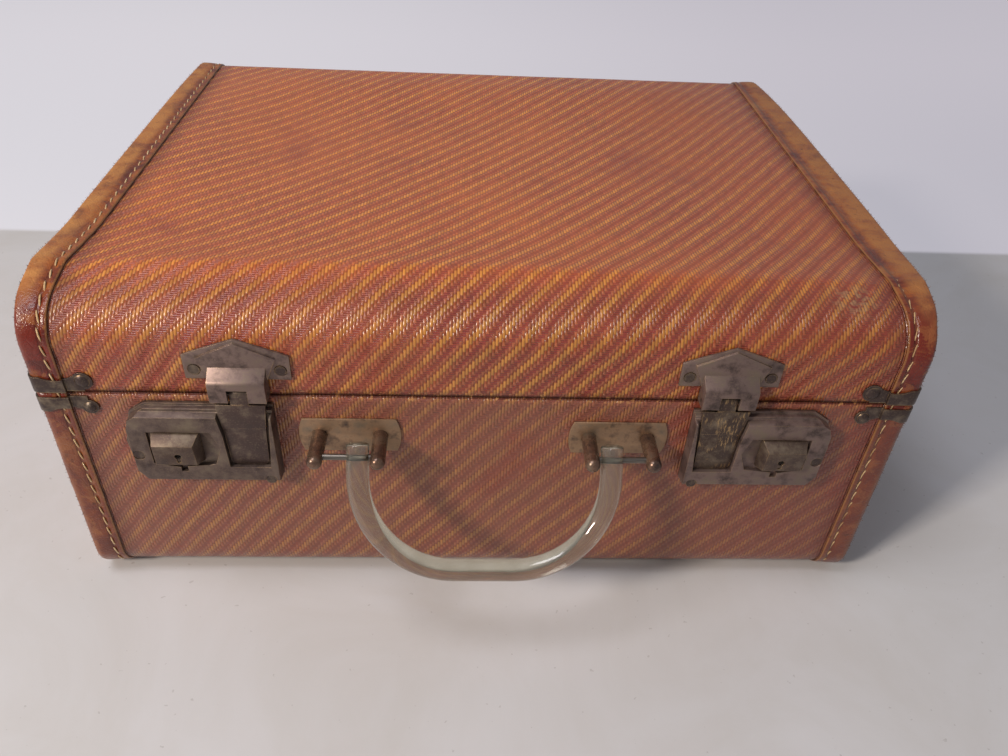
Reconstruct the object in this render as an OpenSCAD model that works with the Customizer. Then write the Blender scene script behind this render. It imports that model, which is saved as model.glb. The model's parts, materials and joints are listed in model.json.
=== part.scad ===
// Small hard travel case: cloth-covered board shell in two halves, leather-bound ends,
// two sliding-catch locks with hinged hasps, a clear bent-rod handle and two back hinges.
// Millimetres, Z up. The origin is on the ground under the middle of the shell, the handle
// side faces -Y. Front hardware is drawn flat: x along the case, y up, z out from the cloth.

/* [Case] */
// Width over the leather bindings
case_w = 406; // [360:1:480]
// Depth over the leather bindings, front to back
case_d = 343; // [280:1:420]
// Height of the tray, up to the seam
tray_h = 127; // [110:1:170]
// Height of the lid above the seam
lid_h = 45; // [40:0.5:70]
// Radius of the two long bottom edges
bottom_radius = 20; // [15:1:24]
// Radius of the two long top edges
top_radius = 22; // [15:1:24]
// Gap between the closed halves
seam_gap = 0.5; // [0.4:0.1:1]

/* [Walls] */
// Thickness of the bent board that makes front, bottom and back
board_t = 4; // [3:0.25:5]
// Thickness of the flat end boards
end_t = 5; // [4:0.25:6]
// Thickness of the varnished cloth
cloth_t = 0.6; // [0.4:0.1:1]
// Thickness of the paper lining
lining_t = 0.8; // [0.5:0.1:1.2]
// Thickness of the lip that keeps the lid in place
lip_t = 2.2; // [1.8:0.1:3]
// How far the lip stands above the seam
lip_rise = 9; // [6:0.5:12]
// How far the lip runs down inside the tray
lip_depth = 24; // [16:1:40]
// Clearance between the lip and the lid's lining
lip_clear = 0.6; // [0.5:0.1:0.9]

/* [Leather binding] */
// Leather thickness
bind_t = 1.6; // [1.4:0.1:2.2]
// Width of the binding on front, top, bottom and back
bind_w = 14; // [10:0.5:18]
// Width of the binding on the end faces
bind_end_w = 12; // [8:0.5:14]
// Width of the line pressed into the cloth along the leather's edge
press_w = 0.6; // [0.4:0.1:1]
// Depth of that line
press_t = 0.3; // [0.1:0.05:0.4]
// Outer rounding of the bound edge
bind_round = 3.5; // [2.5:0.1:3.6]

/* [Corner clips] */
// Sheet thickness of the clips
clip_t = 0.8; // [0.5:0.1:1]
// Height of the lid's clips
lid_clip_h = 8.5; // [6:0.5:10]
// Height of the tray's clips
tray_clip_h = 8; // [6:0.5:10]
// Distance from the seam down to the tray's clips
tray_clip_drop = 2.2; // [1:0.1:3]
// Distance from the seam up to the lid's clips
lid_clip_lift = 0.8; // [0.4:0.1:2]
// Radius of the lid clip's round ear
lid_ear_r = 4.6; // [4:0.1:5]
// Radius of the tray clip's round ear
tray_ear_r = 3.9; // [3.6:0.1:4.4]
// Distance from the case corner to the ear's rivet
ear_in = 22.5; // [21:0.5:28]
// Depth of the hollow in the free edge of each clip's arms
hollow_d = 2; // [1:0.1:2.6]
// Radius of the hollow
hollow_r = 14; // [11:0.5:18]
// Distance from the case's corner to the middle of the hollow
hollow_in = 12; // [10:0.5:13]
// Height of the lid clip's rivet above the seam
lid_ear_z = 6.4; // [6:0.1:8]
// Depth of the tray clip's rivet below the seam
tray_ear_z = 8.4; // [7:0.1:10]

/* [Rivets] */
// Shank radius of all small rivets
shank_r = 1.4; // [1:0.1:1.6]
// Clearance round a rivet shank
shank_fit = 0.03; // [0.02:0.01:0.06]
// Radius of the clinched tails, let into the lining
tail_r = 3; // [2.4:0.1:4]
// Radius of the lid clip's domed rivet heads
dome_big_r = 3.4; // [2.6:0.1:3.8]
// Radius of the tray clip's domed rivet heads
dome_small_r = 2.8; // [2.2:0.1:3.4]
// Height of the domed heads
dome_h = 1.5; // [1:0.1:2]
// Radius of the flat heads of lock and keeper rivets
flat_head_r = 2.6; // [2:0.1:3]
// Thickness of the flat heads
flat_head_t = 0.6; // [0.4:0.1:0.7]

/* [Keeper] */
// Distance of the latches from the middle, as a share of half the case's width
latch_share = 0.547; // [0.53:0.001:0.57]
// Half the width of the keeper plate
keeper_half_w = 23.3; // [22:0.1:26]
// Half the width between the keeper's shoulders
shoulder_half_w = 18.3; // [17:0.1:20]
// Height of the keeper's lower edge above the seam
keeper_low = 9.6; // [9:0.1:10.5]
// Height of the keeper's outer shoulders above the seam
shoulder_low = 22.4; // [21:0.1:23]
// Height of the keeper's inner shoulders above the seam
shoulder_high = 24.4; // [23.5:0.1:25]
// Height of the keeper's peak above the seam
keeper_peak = 31; // [28:0.5:33]
// Thickness of the keeper plate
keeper_t = 1.2; // [1:0.1:1.4]
// Extra thickness of its raised middle
keeper_raise = 1.1; // [0.6:0.1:1.4]
// Distance of the keeper's rivets from its middle
keeper_rivet_x = 18.9; // [18.6:0.1:19.6]
// Height of the keeper's rivets above the seam
keeper_rivet_z = 14.6; // [14:0.1:16]
// Half the width of the keeper's hinge cap
cap_half_w = 12.6; // [12:0.1:13]
// How far the hinge cap stands out
cap_out = 8.5; // [8.2:0.1:9]
// Wall thickness of the hinge cap
cap_wall = 1.2; // [1:0.1:1.3]
// Height of the cap's lower edge above the seam
cap_low = 1.3; // [1:0.1:2]
// Height of the cap's front fold above the seam
cap_fold = 11; // [10.5:0.1:12]
// Height where the cap's slope meets the plate
cap_top = 17.5; // [16.5:0.1:18.5]
// Half the width of the notch for the hasp's neck
notch_half_w = 4.5; // [4.4:0.1:5]
// Height of the notch above the seam
notch_top = 8.2; // [8:0.1:8.6]

/* [Hasp] */
// Height of the hasp pin above the seam
hasp_pin_z = 4.3; // [4:0.1:4.6]
// Distance of the hasp pin from the cloth
hasp_pin_out = 4.6; // [4.4:0.1:4.8]
// Radius of the hasp pin
hasp_pin_r = 1.1; // [0.8:0.1:1.2]
// Running clearance of pins in their bores
pin_fit = 0.06; // [0.02:0.01:0.08]
// Outer radius of the hasp's knuckle
hasp_knuckle_r = 2.4; // [2.2:0.1:2.6]
// Sheet thickness of the hasp
hasp_t = 1.5; // [1.2:0.1:1.7]
// Half the width of the hasp's neck
neck_half_w = 4.1; // [3.8:0.1:4.1]
// Half the width of the hasp at its shoulders
hasp_top_half_w = 11.3; // [11:0.1:11.4]
// Half the width of the hasp at its lower end
hasp_low_half_w = 8.8; // [8:0.1:9.4]
// Depth of the hasp's shoulders below the seam
hasp_shoulder = 0.9; // [0.6:0.1:1.2]
// Depth of the hasp's lower end below the seam
hasp_end = 37.5; // [36:0.5:39]
// Depth of the step across the hasp below the seam
hasp_fold_z = 15; // [12:0.5:18]
// Height of that step
hasp_fold_t = 0.4; // [0.2:0.1:0.6]
// Half the width of the staple on the hasp's back
staple_half_w = 2; // [1.8:0.1:2.2]
// Height of the staple
staple_h = 6; // [5.6:0.1:6.6]
// Height of the staple's eye
eye_h = 3.6; // [3.4:0.1:4]
// Depth of the staple's middle below the seam
staple_z = 23; // [22:0.5:24]

/* [Lock] */
// Distance from the hasp's middle to the lock's outer end
lock_out = 57.5; // [56.5:0.5:60]
// Distance from the hasp's middle to the lock's inner end
lock_in = 13.2; // [13:0.1:14]
// Depth of the lock's top edge below the seam
lock_top = 4.5; // [4:0.1:5]
// Depth of the lock's bottom edge below the seam
lock_low = 50.5; // [50:0.5:54]
// Width of the slope at the lock's lower outer corner
lock_slope_w = 10; // [8:0.5:14]
// Height of that slope
lock_slope_h = 12.5; // [10:0.5:16]
// Width of the slope at the lock's upper outer corner
lock_corner_w = 7.5; // [5:0.5:10]
// Height of that slope
lock_corner_h = 5; // [3:0.5:7]
// Thickness of the plate behind the lock case
lock_plate_t = 0.8; // [0.5:0.1:1]
// Thickness of the lock case's flange
flange_t = 1.2; // [0.8:0.1:1.4]
// How far the lock case stands out from the cloth
lock_thick = 8.5; // [8.3:0.1:9]
// Height of the lock's hollow above the cloth
hollow_top = 4.7; // [4.6:0.1:4.8]
// Height of the channel floor under the hasp
channel_floor = 5.3; // [5.2:0.05:5.4]
// Height of the dish floor under the slide
dish_floor = 6.3; // [6:0.1:6.4]
// Side clearance of the hasp in its channel
channel_gap = 0.7; // [0.5:0.1:0.8]

/* [Release slide] */
// Distance from the hasp's middle to the slide's near side
slide_near = 21; // [20.5:0.1:22]
// Width of the slide at its base
slide_w = 22; // [21.5:0.5:22.5]
// Depth of the slide's upper edge below the seam
slide_top = 17.5; // [17:0.5:18.5]
// Depth of the slide's lower edge below the seam
slide_low = 35; // [34.5:0.5:36]
// How far the slide's ridge stands out from the cloth
slide_out = 13; // [12.5:0.1:13.5]
// Travel of the slide towards the hasp
slide_travel = 4.5; // [4:0.1:4.6]
// Width of the bolt plate under the slide
bolt_w = 17; // [16:0.5:17]
// Height of the bolt plate
bolt_h = 11; // [10:0.5:12]
// Height of the bolt's arm
arm_h = 3.2; // [2.6:0.1:3.6]
// Gap between the arm and the staple
arm_gap = 3.6; // [3:0.1:4.2]
// Width of the bolt's upright
heel_w = 2.2; // [1.8:0.1:2.4]
// Height of the bolt's nose
nose_h = 2.8; // [2.4:0.1:3]
// Clearance between the bolt and what it moves in
bolt_gap = 0.4; // [0.3:0.05:0.5]
// Height of the slide's upper slope
slide_slope = 4; // [3:0.1:5]
// Width of the slide's ridge
slide_ridge = 1; // [0.6:0.1:1.6]
// Width of the stem between slide and bolt
stem_w = 10; // [8:0.5:10.5]
// Height of that stem
stem_h = 8; // [7:0.5:9]
// Room round the staple in the lock's window
window_gap = 2.5; // [2:0.1:3]
// Clearance of the slide above the dish
slide_gap = 0.3; // [0.2:0.05:0.35]
// Depth of the keyhole below the seam
keyhole_z = 28; // [27.5:0.5:29]
// Radius of the keyhole's round end
keyhole_r = 1.6; // [1:0.1:1.8]
// Length of the keyhole's slot below its round end
keyhole_slot = 4; // [2.5:0.1:4.4]

/* [Key cam] */
// Radius of the key cam's disc
cam_r = 3.2; // [2.8:0.1:3.4]
// Length of the key cam's tongue from the pivot
cam_tongue = 10.2; // [9.8:0.1:10.4]

/* [Handle] */
// Gap between a lock and the handle plate beside it
mount_gap = 9.8; // [6:0.1:14]
// Length of a handle plate
mount_w = 48; // [44:1:52]
// Height of a handle plate
mount_h = 19.5; // [16:0.5:22]
// Thickness of a handle plate
mount_t = 1; // [0.8:0.1:1.5]
// Depth of the handle pins below the seam
handle_pin_z = 23.5; // [22:0.5:26]
// Distance of the handle pins from the cloth
handle_pin_out = 16; // [15.5:0.5:19]
// Radius of the handle pins
handle_pin_r = 1.5; // [1.2:0.1:2]
// Half the distance between the two posts of a plate
post_half = 14.3; // [14:0.1:16]
// Radius of the posts
post_r = 3.6; // [3.2:0.1:3.8]
// Radius of the posts' shanks in the wall
post_shank_r = 2; // [1.5:0.1:2.4]
// Distance from the cloth to the middle of the ball ends
post_out = 19.3; // [19:0.1:22]
// Radius of the handle rod
rod_r = 5.3; // [4.5:0.1:5.6]
// Clearance between a handle leg and its inner post
leg_gap = 0.4; // [0.3:0.1:0.6]
// Distance from the pins to the middle of the handle's bar
handle_reach = 54; // [50:1:70]
// Bend radius of the handle's corners, to the rod's middle
handle_bend = 45; // [30:1:48]
// Length of a handle leg above its pin
leg_end = 6.4; // [5:0.1:7]
// Angle at which the handle is held out from hanging
handle_hold = 30; // [0:1:80]

/* [Hinges] */
// Distance of the hinges from the middle, as a share of half the case's width
hinge_share = 0.59; // [0.4:0.01:0.7]
// Width of a hinge
hinge_w = 40; // [36:1:60]
// Height of one hinge leaf
leaf_h = 22; // [20:1:30]
// Sheet thickness of the leaves
leaf_t = 1.2; // [0.8:0.1:1.4]
// Distance of the hinge axis from the cloth
hinge_out = 2.8; // [2.8:0.1:3.2]
// Outer radius of the hinge knuckles
hinge_knuckle_r = 2.4; // [2.2:0.1:2.5]
// Radius of the hinge pins
hinge_pin_r = 1.3; // [1:0.1:1.4]
// Width of the lid's knuckle
knuckle_w = 13.4; // [10:0.2:16]
// End play between knuckles
knuckle_gap = 0.3; // [0.2:0.05:0.5]

/* [Hidden] */
$fn = 48;

// An allowance by which cutting shapes run past the faces they cut
over = 1;
case_h = tray_h + lid_h;
tray_wall_h = tray_h - seam_gap / 2;
lid_wall_h = lid_h - seam_gap / 2;
cloth_y = case_d / 2 - bind_t;
cloth_x = case_w / 2 - bind_t;
board_x = cloth_x - cloth_t;
lining_x = board_x - end_t;
room_x = lining_x - lining_t;
board_in = bind_t + cloth_t;
lining_in = board_in + board_t;
room_in = lining_in + lining_t;
room_y = case_d / 2 - room_in;
wall_depth = cloth_t + board_t;
end_depth = cloth_t + end_t;
latch_x = latch_share * case_w / 2;
mount_x = latch_x - lock_in - mount_gap - mount_w / 2;
hinge_x = hinge_share * case_w / 2;
ear_x = case_w / 2 - ear_in;
ear_y = case_d / 2 - ear_in;

hasp_back = channel_floor + slide_gap;
bolt_low = 2.7;
bolt_high = hollow_top - bolt_gap;
slide_base = dish_floor + slide_gap;
slide_mid = slide_near + slide_w / 2;
slide_wall = 1.2;
cam_pivot_r = 0.9;
rib_x = hasp_low_half_w + 2.2;
rib_t = 1.6;
keyhole_x = slide_mid - 1;
lock_spots = [[lock_out - 7, -31], [4.6 - lock_in, -lock_low + 4.2], [0, -11]];
leg_x = mount_x - post_half + post_r + leg_gap + rod_r;
hinge_spots = [-hinge_w / 2 + 6, 0, hinge_w / 2 - 6];
hinge_spot_z = leaf_h - 7;

cloth_brown = "#9c5a34";
leather_tan = "#a0602c";
board_buff = "#b79a6b";
paper_cream = "#cdbb96";
old_brass = "#6f6350";
dark_brass = "#544c42";
plate_brass = "#8f8263";
pin_steel = "#8d8d90";
clear_acrylic = "#d9dcc8";

// Placing

// Draws the children on the right and mirrored on the left
module both_sides() {
    children();
    mirror([1, 0, 0]) children();
}

// Draws the children at the front and mirrored at the back
module front_and_back() {
    children();
    mirror([0, 1, 0]) children();
}

// Flat drawing of the front face: x across, y up from the seam, z out from the cloth
module on_front() {
    translate([0, -cloth_y, tray_h]) rotate([90, 0, 0]) children();
}

// The same for the back face
module on_back() {
    mirror([0, 1, 0]) on_front() children();
}

// The same for the right end face, with x along the depth
module on_end() {
    translate([cloth_x, 0, tray_h]) rotate([90, 0, 90]) children();
}

module at_latch() {
    translate([latch_x, 0, 0]) children();
}

module at_mount() {
    translate([mount_x, -handle_pin_z, 0]) children();
}

// Extrudes a drawing of (second, third) axes along the first axis
module along_x(from, to) {
    translate([from, 0, 0]) rotate([90, 0, 90]) linear_extrude(to - from) children();
}

// A cylinder along the first axis
module rod_x(radius, from, to) {
    translate([from, 0, 0]) rotate([0, 90, 0]) cylinder(r = radius, h = to - from);
}

// The lid is drawn like a tray, standing on its top, and turned over here
module turned_over() {
    translate([0, 0, case_h]) mirror([0, 0, 1]) children();
}

// Shell

// Cross-section of one half: a box with rounded lower corners, set in from the outside
module half_section(inset, radius, height) {
    half_y = case_d / 2 - inset;
    corner = radius - inset;
    translate([-half_y, radius]) square([2 * half_y, height - radius]);
    translate([corner - half_y, inset]) square([2 * (half_y - corner), height - inset]);
    for (side = [-1, 1])
        translate([side * (half_y - corner), radius]) circle(r = corner);
}

// The pressed line along both bindings, to be cut from the cloth
module pressed_line(radius, height) {
    both_sides() along_x(case_w / 2 - bind_w - press_w, case_w / 2 - bind_w)
        difference() {
            half_section(bind_t - press_t, radius, height + over);
            half_section(bind_t + press_t, radius, height + 2 * over);
        }
}

// One bent sheet of a half: front, bottom and back
module wrap(inset, thick, radius, height) {
    along_x(-board_x, board_x)
        difference() {
            half_section(inset, radius, height);
            half_section(inset + thick, radius, height + over);
        }
}

module end_sheet(inset, radius, height, from, to) {
    along_x(from, to) half_section(inset, radius, height);
}

module lining_shell(radius, height) {
    difference() {
        along_x(-lining_x, lining_x) half_section(lining_in, radius, height);
        along_x(-room_x, room_x) half_section(room_in, radius, height + over);
    }
}

// Leather profile in plan, with its outer corner at the origin and the case at -x and +y
module binding_profile() {
    difference() {
        union() {
            translate([-bind_w, 0]) square([bind_w, bind_t]);
            translate([-bind_t, 0]) square([bind_t, bind_end_w]);
        }
        difference() {
            translate([-bind_round, -over]) square(bind_round + over);
            translate([-bind_round, bind_round]) circle(r = bind_round);
        }
    }
}

// Leather strip round one end of a half: up the front, across the bottom and up the back
module binding(radius, height) {
    front_and_back() {
        translate([case_w / 2, -case_d / 2, radius])
            linear_extrude(height - radius) binding_profile();
        translate([case_w / 2, radius - case_d / 2, radius])
            rotate([90, 0, 90]) rotate([0, 0, 180]) rotate_extrude(angle = 90)
                translate([radius, 0]) rotate(90) binding_profile();
    }
    translate([case_w / 2, case_d / 2 - radius, 0])
        rotate([90, 0, 0]) linear_extrude(case_d - 2 * radius) binding_profile();
}

// Corner clips

// Band in plan, folded round the bound corner and down to the cloth on both sides
module clip_profile() {
    reach = ear_in;
    translate([-bind_w - clip_t, -clip_t]) square([bind_w + clip_t - bind_round, clip_t]);
    translate([-bind_w - clip_t, -clip_t]) square([clip_t, bind_t + clip_t]);
    translate([-reach, bind_t - clip_t]) square([reach - bind_w, clip_t]);
    translate([0, bind_round]) square([clip_t, bind_end_w + clip_t - bind_round]);
    translate([-bind_t, bind_end_w]) square([bind_t + clip_t, clip_t]);
    translate([-bind_t, bind_end_w]) square([clip_t, reach - bind_end_w]);
    intersection() {
        translate([-bind_round, bind_round]) difference() {
            circle(r = bind_round + clip_t);
            circle(r = bind_round);
        }
        translate([-bind_round, -over]) square([bind_round + over, bind_round + over]);
    }
}

// Clip of the right front corner, from one height to another, with its ears' height.
// Its free edge is the upper one for up = 1 and the lower one for up = -1.
module corner_clip(low, high, ear_z, ear_r, up) {
    free = up > 0 ? high : low;
    difference() {
        union() {
            difference() {
                translate([case_w / 2, -case_d / 2, low])
                    linear_extrude(high - low) clip_profile();
                arm_hollows(free + up * (hollow_r - hollow_d));
            }
            ear_discs(ear_z - tray_h, ear_r, clip_t);
        }
        ear_places(ear_z - tray_h) shank_bore(shank_r, 0, clip_t);
    }
}

// What the hollows take from the front arm and the end arm, round axes at one height
module arm_hollows(level) {
    depth = bind_t + clip_t + 2 * over;
    translate([case_w / 2 - hollow_in, -case_d / 2 + bind_t + over, level])
        rotate([90, 0, 0]) cylinder(r = hollow_r, h = depth);
    translate([case_w / 2 - bind_t - over, -case_d / 2 + hollow_in, level])
        rotate([0, 90, 0]) cylinder(r = hollow_r, h = depth);
}

module ear_discs(level, radius, thick) {
    ear_places(level) cylinder(r = radius, h = thick);
}

// The two rivet places of the right front corner, at a height above the seam
module ear_places(level) {
    on_front() translate([ear_x, level, 0]) children();
    on_end() translate([-ear_y, level, 0]) children();
}

module four_corners() {
    both_sides() front_and_back() children();
}

// Rivets

// A rivet standing on z = 0 with its head above and its shank and tail below
module rivet(head_r, head_h, head_z, depth, radius, domed) {
    ball_r = (head_r * head_r + head_h * head_h) / (2 * head_h);
    rotate_extrude() {
        if (domed)
            intersection() {
                translate([0, head_z + head_h - ball_r]) circle(r = ball_r);
                translate([0, head_z]) square([head_r, head_h]);
            }
        else
            translate([0, head_z]) square([head_r, head_h]);
        translate([0, -depth]) square([radius, depth + head_z + head_h / 2]);
        translate([0, -depth - lining_t]) square([tail_r, lining_t]);
    }
}

// A bore from below a depth under z = 0 to above a height over it
module shank_bore(radius, depth, height) {
    translate([0, 0, -depth - over]) cylinder(r = radius + shank_fit, h = depth + height + 2 * over);
}

// Every rivet place on the tray's front and back faces
module tray_wall_places() {
    both_sides() on_front() at_latch()
        for (spot = lock_spots) translate([spot[0], spot[1], 0]) children();
    both_sides() on_back()
        for (spot = hinge_spots) translate([hinge_x + spot, -hinge_spot_z, 0]) children();
    four_corners() on_front() translate([ear_x, -tray_ear_z, 0]) children();
}

module tray_end_places() {
    four_corners() on_end() translate([-ear_y, -tray_ear_z, 0]) children();
}

module tray_bores() {
    tray_wall_places() shank_bore(shank_r, wall_depth, 0);
    both_sides() on_front() post_places() shank_bore(post_shank_r, wall_depth, 0);
}

module tray_end_bores() {
    tray_end_places() shank_bore(shank_r, end_depth, 0);
}

// Holes through a lining round the tails of rivets and posts
module tail_hole(depth) {
    translate([0, 0, -depth - lining_t - over])
        cylinder(r = tail_r + shank_fit, h = lining_t + 2 * over);
}

module lid_wall_places() {
    both_sides() on_front() at_latch() for (side = [-1, 1])
        translate([side * keeper_rivet_x, keeper_rivet_z, 0]) children();
    both_sides() on_back()
        for (spot = hinge_spots) translate([hinge_x + spot, hinge_spot_z, 0]) children();
    four_corners() on_front() translate([ear_x, lid_ear_z, 0]) children();
}

module lid_end_places() {
    four_corners() on_end() translate([-ear_y, lid_ear_z, 0]) children();
}

module lid_bores() {
    lid_wall_places() shank_bore(shank_r, wall_depth, 0);
}

module lid_end_bores() {
    lid_end_places() shank_bore(shank_r, end_depth, 0);
}

// Tray pieces

module tray_board() {
    color(board_buff) difference() {
        wrap(board_in, board_t, bottom_radius, tray_wall_h);
        tray_bores();
    }
}

module tray_end() {
    difference() {
        end_sheet(lining_in, bottom_radius, tray_wall_h, lining_x, board_x);
        tray_end_bores();
    }
}

module tray_end_right() {
    color(board_buff) tray_end();
}

module tray_end_left() {
    color(board_buff) mirror([1, 0, 0]) tray_end();
}

module tray_cover() {
    color(cloth_brown) difference() {
        wrap(bind_t, cloth_t, bottom_radius, tray_wall_h);
        pressed_line(bottom_radius, tray_wall_h);
        tray_bores();
    }
}

module tray_end_cover() {
    difference() {
        end_sheet(bind_t, bottom_radius, tray_wall_h, board_x, cloth_x);
        tray_end_bores();
    }
}

module tray_end_cover_right() {
    color(cloth_brown) tray_end_cover();
}

module tray_end_cover_left() {
    color(cloth_brown) mirror([1, 0, 0]) tray_end_cover();
}

module tray_lining() {
    color(paper_cream) difference() {
        lining_shell(bottom_radius, tray_wall_h);
        tray_wall_places() tail_hole(wall_depth);
        tray_end_places() tail_hole(end_depth);
        both_sides() on_front() post_places() tail_hole(wall_depth);
    }
}

// A ring inside the tray that stands up into the lid, stepped in above the seam
module tray_lip() {
    upper_x = room_x - lip_clear;
    upper_y = room_y - lip_clear;
    color(paper_cream) difference() {
        union() {
            translate([-room_x, -room_y, tray_wall_h - lip_depth])
                cube([2 * room_x, 2 * room_y, lip_depth]);
            translate([-upper_x, -upper_y, tray_wall_h])
                cube([2 * upper_x, 2 * upper_y, lip_rise]);
        }
        translate([lip_t - room_x, lip_t - room_y, tray_wall_h - lip_depth - over])
            cube([2 * (room_x - lip_t), 2 * (room_y - lip_t), lip_depth + lip_rise + 2 * over]);
    }
}

module tray_binding_right() {
    color(leather_tan) binding(bottom_radius, tray_wall_h);
}

module tray_binding_left() {
    color(leather_tan) mirror([1, 0, 0]) binding(bottom_radius, tray_wall_h);
}

module tray_corner_clips() {
    top = tray_h - tray_clip_drop;
    color(dark_brass) four_corners()
        corner_clip(top - tray_clip_h, top, tray_h - tray_ear_z, tray_ear_r, -1);
}

module tray_clip_rivets() {
    color(dark_brass) four_corners() {
        on_front() translate([ear_x, -tray_ear_z, 0])
            rivet(dome_small_r, dome_h, clip_t, wall_depth, shank_r, true);
        on_end() translate([-ear_y, -tray_ear_z, 0])
            rivet(dome_small_r, dome_h, clip_t, end_depth, shank_r, true);
    }
}

// Lid pieces

module lid_board() {
    color(board_buff) difference() {
        turned_over() wrap(board_in, board_t, top_radius, lid_wall_h);
        lid_bores();
    }
}

module lid_end() {
    difference() {
        turned_over() end_sheet(lining_in, top_radius, lid_wall_h, lining_x, board_x);
        lid_end_bores();
    }
}

module lid_end_right() {
    color(board_buff) lid_end();
}

module lid_end_left() {
    color(board_buff) mirror([1, 0, 0]) lid_end();
}

module lid_cover() {
    color(cloth_brown) difference() {
        turned_over() wrap(bind_t, cloth_t, top_radius, lid_wall_h);
        turned_over() pressed_line(top_radius, lid_wall_h);
        lid_bores();
    }
}

module lid_end_cover() {
    difference() {
        turned_over() end_sheet(bind_t, top_radius, lid_wall_h, board_x, cloth_x);
        lid_end_bores();
    }
}

module lid_end_cover_right() {
    color(cloth_brown) lid_end_cover();
}

module lid_end_cover_left() {
    color(cloth_brown) mirror([1, 0, 0]) lid_end_cover();
}

module lid_lining() {
    color(paper_cream) difference() {
        turned_over() lining_shell(top_radius, lid_wall_h);
        lid_wall_places() tail_hole(wall_depth);
        lid_end_places() tail_hole(end_depth);
    }
}

module lid_binding_right() {
    color(leather_tan) turned_over() binding(top_radius, lid_wall_h);
}

module lid_binding_left() {
    color(leather_tan) mirror([1, 0, 0]) turned_over() binding(top_radius, lid_wall_h);
}

module lid_corner_clips() {
    low = tray_h + lid_clip_lift;
    color(dark_brass) four_corners()
        corner_clip(low, low + lid_clip_h, tray_h + lid_ear_z, lid_ear_r, 1);
}

module lid_clip_rivets() {
    color(dark_brass) four_corners() {
        on_front() translate([ear_x, lid_ear_z, 0])
            rivet(dome_big_r, dome_h, clip_t, wall_depth, shank_r, true);
        on_end() translate([-ear_y, lid_ear_z, 0])
            rivet(dome_big_r, dome_h, clip_t, end_depth, shank_r, true);
    }
}

// Keeper and hasp

function keeper_outline(inset) = [
    [-keeper_half_w + inset, keeper_low + inset],
    [keeper_half_w - inset, keeper_low + inset],
    [keeper_half_w - inset, shoulder_low - inset],
    [shoulder_half_w - inset, shoulder_high - inset],
    [0, keeper_peak - inset],
    [inset - shoulder_half_w, shoulder_high - inset],
    [inset - keeper_half_w, shoulder_low - inset]
];

// Plate with a raised middle and a hollow cap that carries the hasp's pin
module keeper() {
    difference() {
        union() {
            linear_extrude(keeper_t) polygon(keeper_outline(0));
            linear_extrude(keeper_t + keeper_raise) polygon([
                [-cap_half_w, keeper_low], [cap_half_w, keeper_low],
                [shoulder_half_w - 1, shoulder_low - 1], [0, keeper_peak - 1.6],
                [1 - shoulder_half_w, shoulder_low - 1]
            ]);
            hinge_cap();
        }
        for (side = [-1, 1]) translate([side * keeper_rivet_x, keeper_rivet_z, 0]) {
            shank_bore(shank_r, 0, keeper_t);
            translate([0, 0, keeper_t - flat_head_t / 2])
                cylinder(r = flat_head_r + 0.3, h = over + keeper_raise);
        }
        translate([0, hasp_pin_z, hasp_pin_out])
            rod_x(hasp_pin_r + shank_fit, -cap_half_w - over, cap_half_w + over);
    }
}

module hinge_cap() {
    inner = cap_half_w - cap_wall;
    difference() {
        along_x(-cap_half_w, cap_half_w) polygon([
            [cap_low, 0], [cap_top, 0], [cap_top, keeper_t], [cap_fold + 1.6, cap_out - 1.3],
            [cap_fold + 0.6, cap_out - 0.3], [cap_fold - 0.4, cap_out], [cap_low, cap_out]
        ]);
        along_x(-inner, inner) polygon([
            [cap_low - over, -over], [keeper_low, -over], [keeper_low, keeper_t],
            [cap_top - cap_wall, keeper_t], [cap_fold, cap_out - cap_wall],
            [cap_low - over, cap_out - cap_wall]
        ]);
        translate([-notch_half_w, cap_low - over, cap_out - cap_wall - over])
            cube([2 * notch_half_w, notch_top - cap_low + over, cap_wall + 2 * over]);
    }
}

module keeper_right() {
    color(old_brass) on_front() at_latch() keeper();
}

module keeper_left() {
    color(old_brass) mirror([1, 0, 0]) on_front() at_latch() keeper();
}

module keeper_rivets() {
    color(dark_brass) both_sides() on_front() at_latch() for (side = [-1, 1])
        translate([side * keeper_rivet_x, keeper_rivet_z, 0])
            rivet(flat_head_r, flat_head_t, keeper_t - flat_head_t / 2, wall_depth, shank_r, false);
}

module hasp_pins() {
    color(pin_steel) both_sides() on_front() at_latch() translate([0, hasp_pin_z, hasp_pin_out])
        rod_x(hasp_pin_r, -cap_half_w, cap_half_w);
}

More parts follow.
